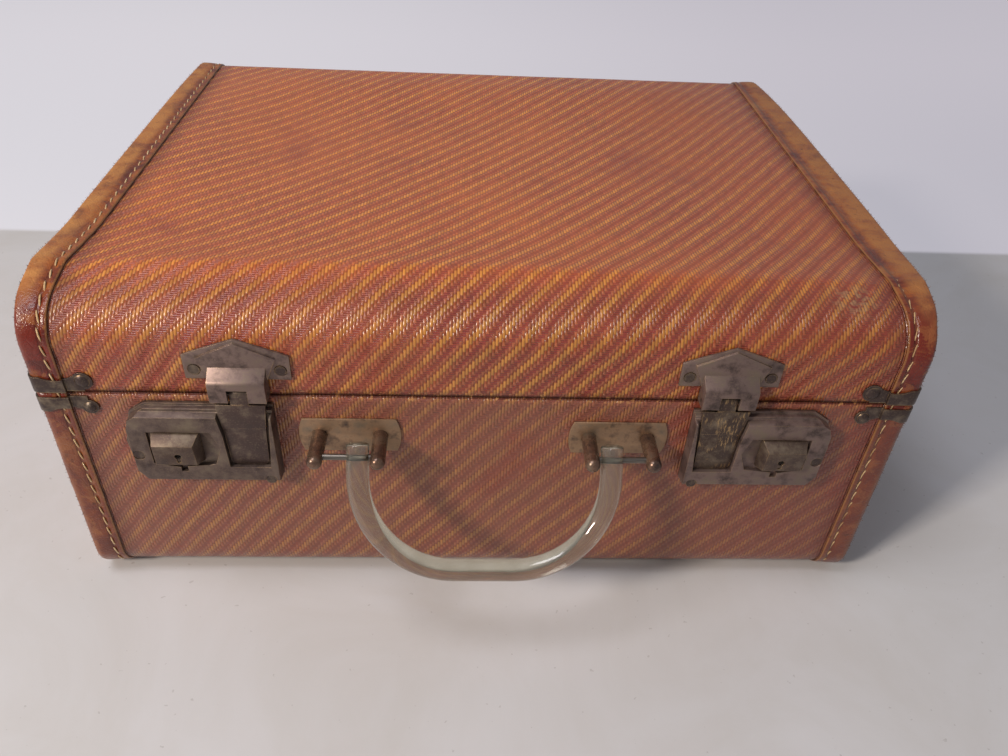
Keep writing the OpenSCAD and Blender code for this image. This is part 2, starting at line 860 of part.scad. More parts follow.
// Flat strap with a narrow neck rolled round the pin and a staple on its back
module hasp() {
    staple_high = hasp_back + hasp_t / 2;
    difference() {
        union() {
            along_x(-neck_half_w, neck_half_w) {
                translate([hasp_pin_z, hasp_pin_out]) circle(r = hasp_knuckle_r);
                translate([-hasp_shoulder - over, hasp_back])
                    square([hasp_pin_z + hasp_shoulder + over, hasp_t - 0.1]);
            }
            translate([0, 0, hasp_back]) linear_extrude(hasp_t) polygon([
                [-hasp_top_half_w, -hasp_shoulder], [hasp_top_half_w, -hasp_shoulder],
                [hasp_low_half_w + 0.7, -hasp_end / 2], [hasp_low_half_w, 2 - hasp_end],
                [hasp_low_half_w - 2, -hasp_end], [2 - hasp_low_half_w, -hasp_end],
                [-hasp_low_half_w, 2 - hasp_end], [-hasp_low_half_w - 0.7, -hasp_end / 2]
            ]);
            translate([-staple_half_w, -staple_z - staple_h / 2, flange_t])
                cube([2 * staple_half_w, staple_h, staple_high - flange_t]);
        }
        translate([0, hasp_pin_z, hasp_pin_out])
            rod_x(hasp_pin_r + pin_fit, -neck_half_w - over, neck_half_w + over);
        translate([-hasp_top_half_w, -hasp_end - over, hasp_back + hasp_t - hasp_fold_t])
            cube([2 * hasp_top_half_w, hasp_end + over - hasp_fold_z, hasp_fold_t + over]);
        translate([-staple_half_w - over, -staple_z - eye_h / 2, bolt_low - bolt_gap])
            cube([2 * (staple_half_w + over), eye_h, bolt_high - bolt_low + 2 * bolt_gap]);
    }
}

module hasp_right() {
    color(dark_brass) on_front() at_latch() hasp();
}

module hasp_left() {
    color(dark_brass) mirror([1, 0, 0]) on_front() at_latch() hasp();
}

// Lock

// Outline of the lock, set in by one amount all round and by another beside the hasp
function lock_outline(inset, inner) = [
    [inner - lock_in, -lock_low + inset + 2],
    [inner - lock_in + 2, -lock_low + inset],
    [lock_out - lock_slope_w - inset / 2, -lock_low + inset],
    [lock_out - 1 - inset, -lock_low + lock_slope_h + inset / 2],
    [lock_out - inset, (-lock_top - lock_low) / 2],
    [lock_out - lock_corner_w * 2 / 3 - inset, -lock_top - lock_corner_h - inset / 2],
    [lock_out - lock_corner_w * 5 / 3 - inset / 2, -lock_top - inset],
    [inner - lock_in, -lock_top - inset]
];

// Outline of the hasp's channel, open at the top
function channel_outline() = [
    [-hasp_top_half_w - channel_gap, over - lock_top],
    [-hasp_top_half_w - channel_gap, -lock_top - 4],
    [-hasp_low_half_w - channel_gap, -hasp_end - channel_gap],
    [hasp_low_half_w + channel_gap, -hasp_end - channel_gap],
    [hasp_low_half_w + channel_gap + 0.7, -hasp_end / 2],
    [hasp_top_half_w + channel_gap, -lock_top - 2],
    [hasp_top_half_w + channel_gap + 1.6, over - lock_top]
];

// Outline of the dish in which the slide runs
function dish_outline() = [
    [slide_near + slide_w + 1.5, -slide_top + 0.8],
    [slide_near - slide_travel - 0.7, -slide_top + 0.8],
    [hasp_top_half_w + channel_gap + 0.3, (-slide_top - slide_low) / 2],
    [slide_near - slide_travel - 0.7, -slide_low - 1.4],
    [slide_mid + 1, -slide_low - 3.4],
    [slide_near + slide_w + 1.5, -slide_low - 1]
];

module lock_plate() {
    difference() {
        linear_extrude(lock_plate_t) polygon(lock_outline(0, 0));
        for (spot = lock_spots) translate([spot[0], spot[1], 0]) shank_bore(shank_r, 0, lock_plate_t);
    }
}

// Flange and stepped body, hollow behind, with channel, dish, slots and rivet bosses
module lock_case() {
    body_z = lock_plate_t + flange_t;
    step_z = (body_z + lock_thick) / 2 - 0.6;
    difference() {
        union() {
            translate([0, 0, lock_plate_t]) linear_extrude(flange_t) polygon(lock_outline(0, 0));
            intersection() {
                translate([0, 0, lock_plate_t])
                    linear_extrude(lock_thick - lock_plate_t) polygon(lock_outline(1, 0));
                along_x(-lock_in - over, lock_out + over) polygon([
                    [-lock_low + 1, 0], [-lock_low + 1, body_z], [-lock_low + 4, lock_thick],
                    [-lock_top - 3.4, lock_thick], [-lock_top - 2.6, step_z],
                    [-lock_top - 1.2, step_z], [-lock_top - 0.8, body_z], [-lock_top - 0.8, 0]
                ]);
                rotate([90, 0, 0]) translate([0, 0, lock_top - over])
                    linear_extrude(lock_low - lock_top + 2 * over) polygon([
                        [-lock_in, 0], [-lock_in, body_z], [-lock_in + 0.3, lock_thick],
                        [lock_out - 4.5, lock_thick], [lock_out - 1, body_z], [lock_out - 1, 0]
                    ]);
            }
        }
        lock_hollow();
        translate([0, 0, channel_floor]) linear_extrude(lock_thick) polygon(channel_outline());
        translate([0, 0, dish_floor]) linear_extrude(lock_thick) polygon(dish_outline());
        translate([slide_mid - stem_w / 2 - slide_travel - slide_gap,
            -slide_mid_z() - stem_h / 2 - slide_gap, 0])
            cube([stem_w + slide_travel + 2 * slide_gap, stem_h + 2 * slide_gap, lock_thick]);
        translate([-staple_half_w - 0.6, -staple_z - staple_h / 2 - window_gap, 0])
            cube([2 * staple_half_w + 1.2, staple_h + 2 * window_gap, lock_thick]);
        translate([keyhole_x - 1.6, -slide_low - 6, dish_floor])
            cube([3.2, 6, 3.2]);
        for (spot = lock_spots) translate([spot[0], spot[1], 0]) {
            shank_bore(shank_r, 0, lock_thick);
            translate([0, 0, lock_thick - 1]) cylinder(r = flat_head_r + 0.2, h = 2 * over);
        }
    }
}

function slide_mid_z() = (slide_top + slide_low) / 2;

module lock_hollow() {
    difference() {
        translate([0, 0, -over]) linear_extrude(hollow_top + over) polygon(lock_outline(3, 3));
        for (spot = lock_spots) translate([spot[0], spot[1], 0])
            cylinder(r = shank_r + 1.4, h = lock_thick);
        translate([rib_x - rib_t, -staple_z - 6, 0]) cube([rib_t, 12, lock_thick]);
    }
}

module lock_plate_right() {
    color(dark_brass) on_front() at_latch() lock_plate();
}

module lock_plate_left() {
    color(dark_brass) mirror([1, 0, 0]) on_front() at_latch() lock_plate();
}

module lock_case_right() {
    color(old_brass) on_front() at_latch() lock_case();
}

module lock_case_left() {
    color(old_brass) mirror([1, 0, 0]) on_front() at_latch() lock_case();
}

module lock_rivets() {
    heads = [lock_thick - 1, lock_thick - 1, channel_floor - flat_head_t];
    color(dark_brass) both_sides() on_front() at_latch() for (i = [0 : 2])
        translate([lock_spots[i][0], lock_spots[i][1], 0])
            rivet(i == 2 ? shank_r : flat_head_r, flat_head_t, heads[i], wall_depth, shank_r, false);
}

// Release slide

// Thumb piece with a hollow back, joined through the slot to a hooked bolt
module release_slide() {
    mid_z = slide_mid_z();
    difference() {
        intersection() {
            along_x(slide_near, slide_near + slide_w) polygon([
                [-slide_top, slide_base], [-slide_top - 0.4, slide_base + 1.2],
                [-slide_top - slide_slope, slide_out],
                [-slide_top - slide_slope - slide_ridge, slide_out],
                [-slide_low + 1.6, slide_out - 0.8], [-slide_low, slide_base]
            ]);
            rotate([90, 0, 0]) translate([0, 0, slide_top - over])
                linear_extrude(slide_low - slide_top + 2 * over) polygon([
                    [slide_near, slide_base], [slide_near + 2.4, slide_out],
                    [slide_near + slide_w - 1.2, slide_out], [slide_near + slide_w, slide_base]
                ]);
        }
        translate([slide_near + slide_wall + 1, -slide_low + slide_wall, slide_base + 1])
            cube([slide_w - 2 * slide_wall - 1, slide_low - slide_top - slide_slope - 0.6,
                slide_out - slide_base - 2.5]);
        translate([keyhole_x - 1.5, -slide_low - over, slide_base + 1])
            cube([slide_near + slide_w - slide_wall - keyhole_x + 1.5, 4, 2.4]);
        translate([keyhole_x, -keyhole_z, slide_base]) {
            cylinder(r = keyhole_r, h = slide_out);
            translate([-keyhole_r / 2, -keyhole_slot, 2]) cube([keyhole_r, keyhole_slot, slide_out]);
        }
    }
    translate([keyhole_x, -keyhole_z, slide_base]) cylinder(r = cam_pivot_r, h = 4);
    translate([slide_mid - stem_w / 2, -mid_z - stem_h / 2, bolt_low])
        cube([stem_w, stem_h, slide_base - bolt_low + 0.5]);
    bolt();
}

// Bolt plate, its arm below the staple and a nose that points back through the staple's eye
module bolt() {
    heel = -staple_half_w - heel_w - 0.6;
    arm_z = -staple_z - staple_h / 2 - arm_gap - arm_h;
    thick = bolt_high - bolt_low;
    translate([0, 0, bolt_low]) {
        translate([slide_near + 1, -slide_mid_z() - bolt_h / 2, 0])
            cube([bolt_w, bolt_h, thick]);
        translate([heel, arm_z, 0]) cube([slide_near + 2 - heel, arm_h, thick]);
        translate([heel, arm_z, 0])
            cube([heel_w, nose_h / 2 - staple_z - arm_z, thick]);
        translate([heel, -staple_z - nose_h / 2, 0])
            cube([staple_half_w - 0.4 - heel, nose_h, thick]);
    }
}

module release_slide_right() {
    color(old_brass) on_front() at_latch() release_slide();
}

module release_slide_left() {
    color(old_brass) mirror([1, 0, 0]) on_front() at_latch() release_slide();
}

// Bent leaf between a rib of the lock case and the bolt plate
module return_spring() {
    rib = rib_x + 0.02;
    push = slide_near + 0.8;
    leaf = 0.5;
    translate([0, 0, bolt_low + 0.1]) linear_extrude(bolt_high - bolt_low - 0.2) polygon([
        [rib, -staple_z - 5.4], [rib + leaf, -staple_z - 5.4], [push, -staple_z - 2],
        [rib + leaf, -staple_z + 1.4], [rib, -staple_z + 1.4], [push - 1.2, -staple_z - 2]
    ]);
}

module return_spring_right() {
    color(pin_steel) on_front() at_latch() return_spring();
}

module return_spring_left() {
    color(pin_steel) mirror([1, 0, 0]) on_front() at_latch() return_spring();
}

// Disc with a key slot and a tongue that drops into the notch of the dish when locked
module key_cam() {
    low = slide_base + 1.3;
    translate([keyhole_x, -keyhole_z, low]) difference() {
        union() {
            cylinder(r = cam_r, h = 2.6);
            translate([0, -1.1, 0]) cube([cam_tongue, 2.2, 1.4]);
        }
        translate([0, 0, -over]) cylinder(r = cam_pivot_r + pin_fit, h = 6);
        translate([-0.5, -cam_r - over, 1.6]) cube([1, cam_r + over, 2]);
    }
}

module key_cam_right() {
    color(pin_steel) on_front() at_latch() key_cam();
}

module key_cam_left() {
    color(pin_steel) mirror([1, 0, 0]) on_front() at_latch() key_cam();
}

// Handle

module post_places() {
    at_mount() for (side = [-1, 1]) translate([side * post_half, 0, 0]) children();
}

module handle_plate() {
    difference() {
        at_mount() linear_extrude(mount_t) intersection() {
            square([mount_w, mount_h], center = true);
            circle(d = mount_w);
        }
        post_places() shank_bore(post_shank_r, 0, mount_t);
    }
}

module handle_plate_right() {
    color(plate_brass) on_front() handle_plate();
}

module handle_plate_left() {
    color(plate_brass) mirror([1, 0, 0]) on_front() handle_plate();
}

// Two round posts with ball ends, riveted through the wall over washers
module handle_posts() {
    difference() {
        post_places() {
            translate([0, 0, mount_t]) cylinder(r = post_r, h = post_out - mount_t);
            translate([0, 0, post_out]) sphere(r = post_r);
            translate([0, 0, -wall_depth]) cylinder(r = post_shank_r, h = wall_depth + mount_t);
            translate([0, 0, -wall_depth - lining_t]) cylinder(r = tail_r, h = lining_t);
        }
        at_mount() translate([0, 0, handle_pin_out])
            rod_x(handle_pin_r + shank_fit, -pin_half(), pin_half());
    }
}

function pin_half() = post_half + post_r - 1;

module handle_posts_right() {
    color(old_brass) on_front() handle_posts();
}

module handle_posts_left() {
    color(old_brass) mirror([1, 0, 0]) on_front() handle_posts();
}

module handle_pin() {
    at_mount() translate([0, 0, handle_pin_out])
        rod_x(handle_pin_r, 0.1 - pin_half(), pin_half() - 0.1);
}

module handle_pin_right() {
    color(pin_steel) on_front() handle_pin();
}

module handle_pin_left() {
    color(pin_steel) mirror([1, 0, 0]) on_front() handle_pin();
}

// Clear rod bent to a U, drawn hanging from the pins and then swung out
module handle_rod() {
    straight = handle_reach - handle_bend;
    color(clear_acrylic, 0.5)
        translate([0, -cloth_y - handle_pin_out, tray_h - handle_pin_z])
            rotate([-handle_hold, 0, 0]) difference() {
                union() {
                    both_sides() {
                        translate([leg_x, 0, -straight])
                            cylinder(r = rod_r, h = straight + leg_end);
                        translate([leg_x - handle_bend, 0, -straight])
                            rotate([-90, 0, 0]) rotate_extrude(angle = 90)
                                translate([handle_bend, 0]) circle(r = rod_r);
                    }
                    translate([0, 0, -handle_reach])
                        rod_x(rod_r, handle_bend - leg_x, leg_x - handle_bend);
                }
                both_sides() rod_x(handle_pin_r + pin_fit, leg_x - rod_r - over,
                    leg_x + rod_r + over);
            }
}

// Hinges

// One leaf, drawn for the tray below the seam; the middle or the outer knuckles are its own
module hinge_leaf(middle) {
    half = hinge_w / 2;
    inner = knuckle_w / 2;
    clear = hinge_knuckle_r + 0.8;
    bore = middle ? pin_fit : shank_fit;
    difference() {
        union() {
            translate([-half, -leaf_h, 0]) cube([hinge_w, leaf_h - clear, leaf_t]);
            if (middle)
                knuckle(-inner, inner);
            else
                for (side = [0, 1]) mirror([side, 0, 0]) knuckle(inner + knuckle_gap, half);
        }
        translate([0, 0, hinge_out])
            rod_x(hinge_pin_r + bore, -half - over, half + over);
        for (spot = hinge_spots) translate([spot, -hinge_spot_z, 0]) shank_bore(shank_r, 0, leaf_t);
    }
}

module knuckle(from, to) {
    translate([0, 0, hinge_out]) rod_x(hinge_knuckle_r, from, to);
    translate([from, -hinge_knuckle_r - over, 0])
        cube([to - from, hinge_knuckle_r + over, leaf_t]);
    translate([from, -hinge_knuckle_r, hinge_out - hinge_knuckle_r])
        cube([to - from, hinge_knuckle_r, hinge_knuckle_r / 2]);
}

module at_hinge() {
    both_sides() on_back() translate([hinge_x, 0, 0]) children();
}

module hinge_leaves_tray() {
    color(old_brass) at_hinge() hinge_leaf(false);
}

module hinge_leaves_lid() {
    color(old_brass) at_hinge() mirror([0, 1, 0]) hinge_leaf(true);
}

module hinge_pins() {
    color(pin_steel) at_hinge() translate([0, 0, hinge_out])
        rod_x(hinge_pin_r, -hinge_w / 2, hinge_w / 2);
}

module hinge_rivets_tray() {
    color(dark_brass) at_hinge() for (spot = hinge_spots) translate([spot, -hinge_spot_z, 0])
        rivet(flat_head_r, flat_head_t, leaf_t, wall_depth, shank_r, true);
}

module hinge_rivets_lid() {
    color(dark_brass) at_hinge() for (spot = hinge_spots) translate([spot, hinge_spot_z, 0])
        rivet(flat_head_r, flat_head_t, leaf_t, wall_depth, shank_r, true);
}

tray_board();
tray_end_left();
tray_end_right();
tray_cover();
tray_end_cover_left();
tray_end_cover_right();
tray_lining();
tray_lip();
tray_binding_left();
tray_binding_right();
tray_corner_clips();
tray_clip_rivets();
lock_plate_left();
lock_plate_right();
lock_case_left();
lock_case_right();
lock_rivets();
return_spring_left();
return_spring_right();
release_slide_left();
release_slide_right();
key_cam_left();
key_cam_right();
handle_plate_left();
handle_plate_right();
handle_posts_left();
handle_posts_right();
handle_pin_left();
handle_pin_right();
handle_rod();
hinge_leaves_tray();
hinge_pins();
hinge_rivets_tray();
lid_board();
lid_end_left();
lid_end_right();
lid_cover();
lid_end_cover_left();
lid_end_cover_right();
lid_lining();
lid_binding_left();
lid_binding_right();
lid_corner_clips();
lid_clip_rivets();
keeper_left();
keeper_right();
keeper_rivets();
hasp_pins();
hasp_left();
hasp_right();
hinge_leaves_lid();
hinge_rivets_lid();
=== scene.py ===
"""Looks of an old hard travel case: varnished tweed cloth, stitched leather ends, tarnished
brass fittings and a clear acrylic handle. Lengths are in metres, in the case's own frame."""
import json
import math

import bpy
import bmesh
from bpy.props import FloatProperty, FloatVectorProperty, IntProperty, PointerProperty
from mathutils import Matrix, Vector, noise


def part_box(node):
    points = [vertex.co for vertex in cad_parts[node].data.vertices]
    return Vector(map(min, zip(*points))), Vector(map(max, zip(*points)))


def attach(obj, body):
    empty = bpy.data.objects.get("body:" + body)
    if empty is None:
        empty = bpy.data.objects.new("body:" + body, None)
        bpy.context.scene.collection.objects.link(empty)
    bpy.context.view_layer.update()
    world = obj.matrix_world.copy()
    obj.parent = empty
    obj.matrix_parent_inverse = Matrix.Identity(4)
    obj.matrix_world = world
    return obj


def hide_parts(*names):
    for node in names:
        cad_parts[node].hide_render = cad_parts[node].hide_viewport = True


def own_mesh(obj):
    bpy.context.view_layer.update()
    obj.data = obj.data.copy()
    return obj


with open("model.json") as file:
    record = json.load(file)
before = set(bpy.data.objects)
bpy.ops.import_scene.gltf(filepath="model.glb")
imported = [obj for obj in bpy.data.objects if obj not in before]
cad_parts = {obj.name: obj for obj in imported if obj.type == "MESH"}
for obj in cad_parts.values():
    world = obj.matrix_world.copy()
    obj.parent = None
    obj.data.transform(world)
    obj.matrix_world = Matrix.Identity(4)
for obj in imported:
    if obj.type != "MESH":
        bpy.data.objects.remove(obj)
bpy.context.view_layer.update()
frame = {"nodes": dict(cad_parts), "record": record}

bl_info = {
    "name": "Old travel case",
    "version": (1, 0, 0),
    "blender": (4, 5, 0),
    "location": "3D View > Sidebar > Travel case",
    "description": "Dresses a hard travel case in cloth, leather, brass and acrylic",
    "category": "Object",
}

MM = 0.001
LEATHER_T = 1.6 * MM
CLOTH_T = 0.6 * MM


def span(node):
    """Lowest and highest corner of a node as vectors."""
    low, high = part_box(node)
    return Vector(low), Vector(high)


# The case's own sizes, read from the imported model
BIND_LOW, BIND_HIGH = span("tray_binding_right")
TOP_LOW, TOP_HIGH = span("lid_binding_right")
HALF_W = BIND_HIGH.x
HALF_D = BIND_HIGH.y
BIND_W = BIND_HIGH.x - BIND_LOW.x
TRAY_TOP = BIND_HIGH.z
LID_LOW = TOP_LOW.z
CASE_H = TOP_HIGH.z
SEAM = (TRAY_TOP + LID_LOW) / 2
CLOTH_Y = HALF_D - LEATHER_T
CLOTH_X = HALF_W - LEATHER_T
BOTTOM_R = 20 * MM
TOP_R = 22 * MM
BIND_END_W = 12 * MM
BIND_ROUND = 3.5 * MM
# Each half with the radius of its long edges, the height of its rim, and whether it is the lid
HALVES = (("tray", BOTTOM_R, TRAY_TOP, False), ("lid", TOP_R, LID_LOW, True))
SIDES = (("left", -1), ("right", 1))

# The photograph's view, fitted to the case's straight edges
VIEW_FROM = (-0.0122, -0.4628, 0.3677)
VIEW_TURN, VIEW_DOWN, VIEW_LEAN = (math.radians(angle) for angle in (3.83, 37.97, 3.28))
FOCAL_PX, PICTURE_PX, SENSOR_MM = 820.7, 1008, 36
# The table ends and the wall behind it starts between these two distances
WALL_STARTS = (0.208, 0.216)


def hex_colour(text):
    """An sRGB hex colour as the RGB of a property."""
    return tuple(int(text[i:i + 2], 16) / 255 for i in (1, 3, 5))


def linear(colour):
    """An sRGB colour, as hex text or RGB, as linear RGBA."""
    rgb = hex_colour(colour) if isinstance(colour, str) else colour
    return tuple(c / 12.92 if c <= 0.04045 else ((c + 0.055) / 1.055) ** 2.4 for c in rgb) + (1.0,)


def colour_property(name, text, about):
    """A colour that the panel shows, given as sRGB hex text."""
    return FloatVectorProperty(name=name, description=about, default=hex_colour(text),
                               subtype="COLOR", size=3, min=0, max=1)


def length_property(name, mm, about):
    """A length that the panel shows, given in millimetres."""
    return FloatProperty(name=name, description=about, default=mm * MM, unit="LENGTH", precision=5)


class CaseCloth(bpy.types.PropertyGroup):
    """Thread sizes and colours of the cloth"""
    thread_w: length_property("Thread width", 1.45, "Width of one upright thread")
    stripe_rise: FloatProperty(name="Stripe angle", description="Angle of the stripes on the front",
                               default=math.radians(50.9), subtype="ANGLE")
    repeat: length_property("Stripe repeat", 14.4, "Upright repeat of the stripes")
    gold: colour_property("Gold", "#c4863a", "Colour of the long gold threads")
    straw: colour_property("Straw", "#a65c3d", "Colour of the threads between")
    wine: colour_property("Wine", "#86302e", "Colour of the dark threads")
    gap: colour_property("Gap", "#8a3f1c", "Colour between the stripes")
    # Painted shade between the threads
    line: colour_property("Line", "#4a1c14", "Colour between the threads")
    faded: colour_property("Faded", "#c06a38", "Colour that the whole cloth fades to")
    # Dust on the lower half, darker also as painted shade
    dust_and_shade: colour_property("Dusty", "#8a5741", "Colour of the soiled lower half")
    varnish: colour_property("Varnish", "#8f2c18", "Colour where old varnish has pooled")


class CaseLeather(bpy.types.PropertyGroup):
    """Colours of the leather and the thread that sews it"""
    tan: colour_property("Tan", "#a05624", "Main colour")
    worn: colour_property("Worn", "#c48648", "Colour of rubbed edges")
    stain: colour_property("Stain", "#5f2415", "Colour of dark stains")
    thread: colour_property("Thread", "#cfac7b", "Colour of the stitches")
    pitch: length_property("Stitch pitch", 7.6, "Distance from stitch to stitch")
    stitch: length_property("Stitch length", 6.3, "Length of one stitch")
    stitch_in: length_property("Stitch distance", 3.7, "Distance of the stitches from the edge")


class CaseMetal(bpy.types.PropertyGroup):
    """Colours of the fittings"""
    tarnish: colour_property("Tarnish", "#66564f", "Grey-brown skin of the old brass")
    dark: colour_property("Dark tarnish", "#463936", "Darkest skin of the old brass")
    bright: colour_property("Bare brass", "#c4a273", "Metal where the skin is rubbed off")
    plate: colour_property("Handle plate", "#9c7e63", "Thin plates under the handle")


class CaseStage(bpy.types.PropertyGroup):
    """Table, light and camera"""
    table: colour_property("Table", "#d5d4d6", "Colour of the table top")
    wall: colour_property("Backdrop", "#f0eff4", "Colour behind the case")
    key: FloatProperty(name="Key light", description="Power of the main light", default=24.5, min=0)
    fill: FloatProperty(name="Soft light", description="Power of the overhead light",
                        default=8.4, min=0)
    room: FloatProperty(name="Room light", description="Strength of the room's light", default=0.27,
                        min=0)
    fibres: IntProperty(name="Loose fibres", description="Seed of the frayed threads",
                        default=7, min=0)


def settings():
    """The settings of cloth, leather, metal and stage."""
    scene = bpy.context.scene
    return scene.case_cloth, scene.case_leather, scene.case_metal, scene.case_stage


# Materials

def connect(tree, node, inputs):
    """Gives a node's inputs, in order or by name, their numbers, colours or links. A node given
    as a value is linked by the first output that its settings leave in use."""
    for key, value in inputs.items() if isinstance(inputs, dict) else enumerate(inputs):
        if isinstance(value, bpy.types.Node):
            value = next(output for output in value.outputs if output.enabled)
        if isinstance(value, bpy.types.NodeSocket):
            tree.links.new(value, node.inputs[key])
        else:
            node.inputs[key].default_value = value


def add(tree, kind, inputs=(), stops=(), **values):
    """Adds a node with its settings, its colour stops if it has any, and its inputs."""
    made = tree.nodes.new(kind)
    for name, value in values.items():
        setattr(made, name, value)
    cells = made.color_ramp.elements if stops else ()
    while len(cells) < len(stops):
        cells.new(0.5)
    for cell, (place, colour) in zip(cells, stops):
        cell.position = place
        cell.color = colour
    connect(tree, made, inputs)
    return made


def patches(tree, place, low, high, size, detail=4.0, rough=0.55, distort=0.0):
    """Dirt or wear in patches: none where its clouds are under low, full where they are over high.
    The size is that of one cloud."""
    clouds = add(tree, "ShaderNodeTexNoise", {"Vector": place, "Scale": 1 / size, "Detail": detail,
                                              "Roughness": rough, "Distortion": distort})
    return add(tree, "ShaderNodeMapRange", (clouds, low, high), interpolation_type="SMOOTHSTEP")


def away_from(tree, value, middle):
    """How far a value lies from a middle one, either way."""
    gap = add(tree, "ShaderNodeMath", (value, middle), operation="SUBTRACT")
    return add(tree, "ShaderNodeMath", (gap,), operation="ABSOLUTE")


def stained(tree, colour, where, strength, stain):
    """A colour with a stain laid over it where a mask is one, as strong as given."""
    amount = add(tree, "ShaderNodeMath", (where, strength), operation="MULTIPLY")
    return add(tree, "ShaderNodeMix", {0: amount, 6: colour, 7: linear(stain)}, data_type="RGBA")


def grey(value):
    """A linear grey."""
    return (value, value, value, 1.0)


def new_material(name, **constants):
    """A material with its shader, whose constants are set straight on the shader's sockets."""
    made = bpy.data.materials.new(name)
    made.use_nodes = True
    shader = made.node_tree.nodes["Principled BSDF"]
    for key, value in constants.items():
        shader.inputs[key.replace("_", " ")].default_value = value
    return made, made.node_tree, shader


def eye_rays(tree, rays):
    """One for rays that the eye follows: straight, mirrored or through the clear handle."""
    mirrored = add(tree, "ShaderNodeMath", (rays["Is Camera Ray"], rays["Is Glossy Ray"]),
                   operation="MAXIMUM")
    return add(tree, "ShaderNodeMath", (mirrored, rays["Is Transmission Ray"]), operation="MAXIMUM")


def tweed(name, lid):
    """Varnished tweed: straw-like threads dyed gold and wine, woven in a steep twill. The eye sees
    slanting stripes of single threads under old varnish, faded, soiled and rubbed in places."""
    cloth = settings()[0]
    made, tree, shader = new_material(name, Coat_Roughness=0.26, IOR=1.25)
    place = add(tree, "ShaderNodeUVMap", uv_map="unrolled").outputs[0]
    parts = add(tree, "ShaderNodeSeparateXYZ", (place,)).outputs
    across, along = parts[0], parts[1]
    sideways = add(tree, "ShaderNodeMath", (across,), operation="ABSOLUTE")
    from_seam = add(tree, "ShaderNodeMath", (along,), operation="ABSOLUTE")
    # The stripes climb to the right; each upright thread shifts them by a step
    tangent = math.tan(cloth.stripe_rise)
    wander = add(tree, "ShaderNodeTexNoise",
                 {"Vector": place, "Scale": 1 / (25 * MM), "Detail": 2.0, "Roughness": 0.55})
    wavy = add(tree, "ShaderNodeMath", (wander, 3 * MM, along), operation="MULTIPLY_ADD")
    column = add(tree, "ShaderNodeMath", (across, cloth.thread_w), operation="DIVIDE")
    index = add(tree, "ShaderNodeMath", (column,), operation="FLOOR")
    inside = add(tree, "ShaderNodeMath", (column,), operation="FRACT")
    climb = add(tree, "ShaderNodeMath", (index, -cloth.thread_w * tangent, wavy),
                operation="MULTIPLY_ADD")
    rise = add(tree, "ShaderNodeMath", (climb, cloth.repeat), operation="DIVIDE")
    phase = add(tree, "ShaderNodeMath", (rise,), operation="FRACT")
    # A thread comes up three times in a repeat, each time in a shade of its own
    thirds = add(tree, "ShaderNodeMath", (rise, 3.0, 0.5), operation="MULTIPLY_ADD")
    row = add(tree, "ShaderNodeMath", (thirds,), operation="FLOOR")
    cell = add(tree, "ShaderNodeCombineXYZ", (index, row))
    luck = add(tree, "ShaderNodeTexWhiteNoise", {"Vector": cell}, noise_dimensions="2D")
    gold, straw = linear(cloth.gold), linear(cloth.straw)
    wine, gap = linear(cloth.wine), linear(cloth.gap)
    threads = add(tree, "ShaderNodeValToRGB", (phase,),
                  stops=[(0.0, gold), (0.09, gold), (0.14, gap), (0.19, gap), (0.24, straw),
                         (0.33, straw), (0.38, wine), (0.56, wine), (0.61, straw), (0.69, straw),
                         (0.74, gap), (0.83, gap), (0.88, gold), (1.0, gold)])
    # Dark lines of painted shade between the threads: upright ones in the light stripes, level ones
    # in the dark
    upright = away_from(tree, inside, 0.5)
    picks = add(tree, "ShaderNodeMath", (along, 1.05 * MM), operation="DIVIDE")
    pick = add(tree, "ShaderNodeMath", (picks,), operation="FRACT")
    level = away_from(tree, pick, 0.5)
    in_wine = add(tree, "ShaderNodeMapRange", (away_from(tree, phase, 0.47), 0.2, 0.12),
                  interpolation_type="SMOOTHSTEP")
    off_centre = add(tree, "ShaderNodeMix", {0: in_wine, 2: upright, 3: level})
    shade = add(tree, "ShaderNodeMapRange", (off_centre, 0.22, 0.5),
                interpolation_type="SMOOTHSTEP")
    threads = stained(tree, threads, shade, 0.55, cloth.line)
    bright = add(tree, "ShaderNodeMix", {0: luck, 6: grey(0.76), 7: grey(1.22)}, data_type="RGBA")
    threads = add(tree, "ShaderNodeMix", {0: 1.0, 6: threads, 7: bright}, data_type="RGBA",
                  blend_type="MULTIPLY")
    # Fading: strong on the sunlit top and on the soiled lower half, which is also painted darker as
    # shade, weak on the lid's front
    clouds = patches(tree, place, 0.32, 0.7, 91 * MM, 4.0, 0.6)
    if lid:
        # The top lies between two bends, at these lengths from the seam
        front_bend = add(tree, "ShaderNodeMapRange", (along, 48 * MM, 75 * MM),
                         interpolation_type="SMOOTHSTEP")
        back_bend = add(tree, "ShaderNodeMapRange", (along, 400 * MM, 370 * MM),
                        interpolation_type="SMOOTHSTEP")
        on_top = add(tree, "ShaderNodeMath", (front_bend, back_bend), operation="MULTIPLY")
        uneven = add(tree, "ShaderNodeMath", (clouds, 0.24, 0.1), operation="MULTIPLY_ADD")
        fade = add(tree, "ShaderNodeMath", (on_top, 0.14, uneven), operation="MULTIPLY_ADD")
        threads = add(tree, "ShaderNodeMix", {0: fade, 6: threads, 7: linear(cloth.faded)},
                      data_type="RGBA")
        # The sun has also bleached the top a little towards yellow
        bleach = add(tree, "ShaderNodeMix", {0: on_top, 6: grey(1.0), 7: (1.4, 1.33, 1.06, 1.0)},
                     data_type="RGBA")
        threads = add(tree, "ShaderNodeMix", {0: 1.0, 6: threads, 7: bleach}, data_type="RGBA",
                      blend_type="MULTIPLY")
    else:
        # Dust and painted shade on the tray's cloth
        fade = add(tree, "ShaderNodeMath", (clouds, 0.22, 0.5), operation="MULTIPLY_ADD")
        threads = add(tree, "ShaderNodeMix", {0: fade, 6: threads, 7: linear(cloth.dust_and_shade)},
                      data_type="RGBA")
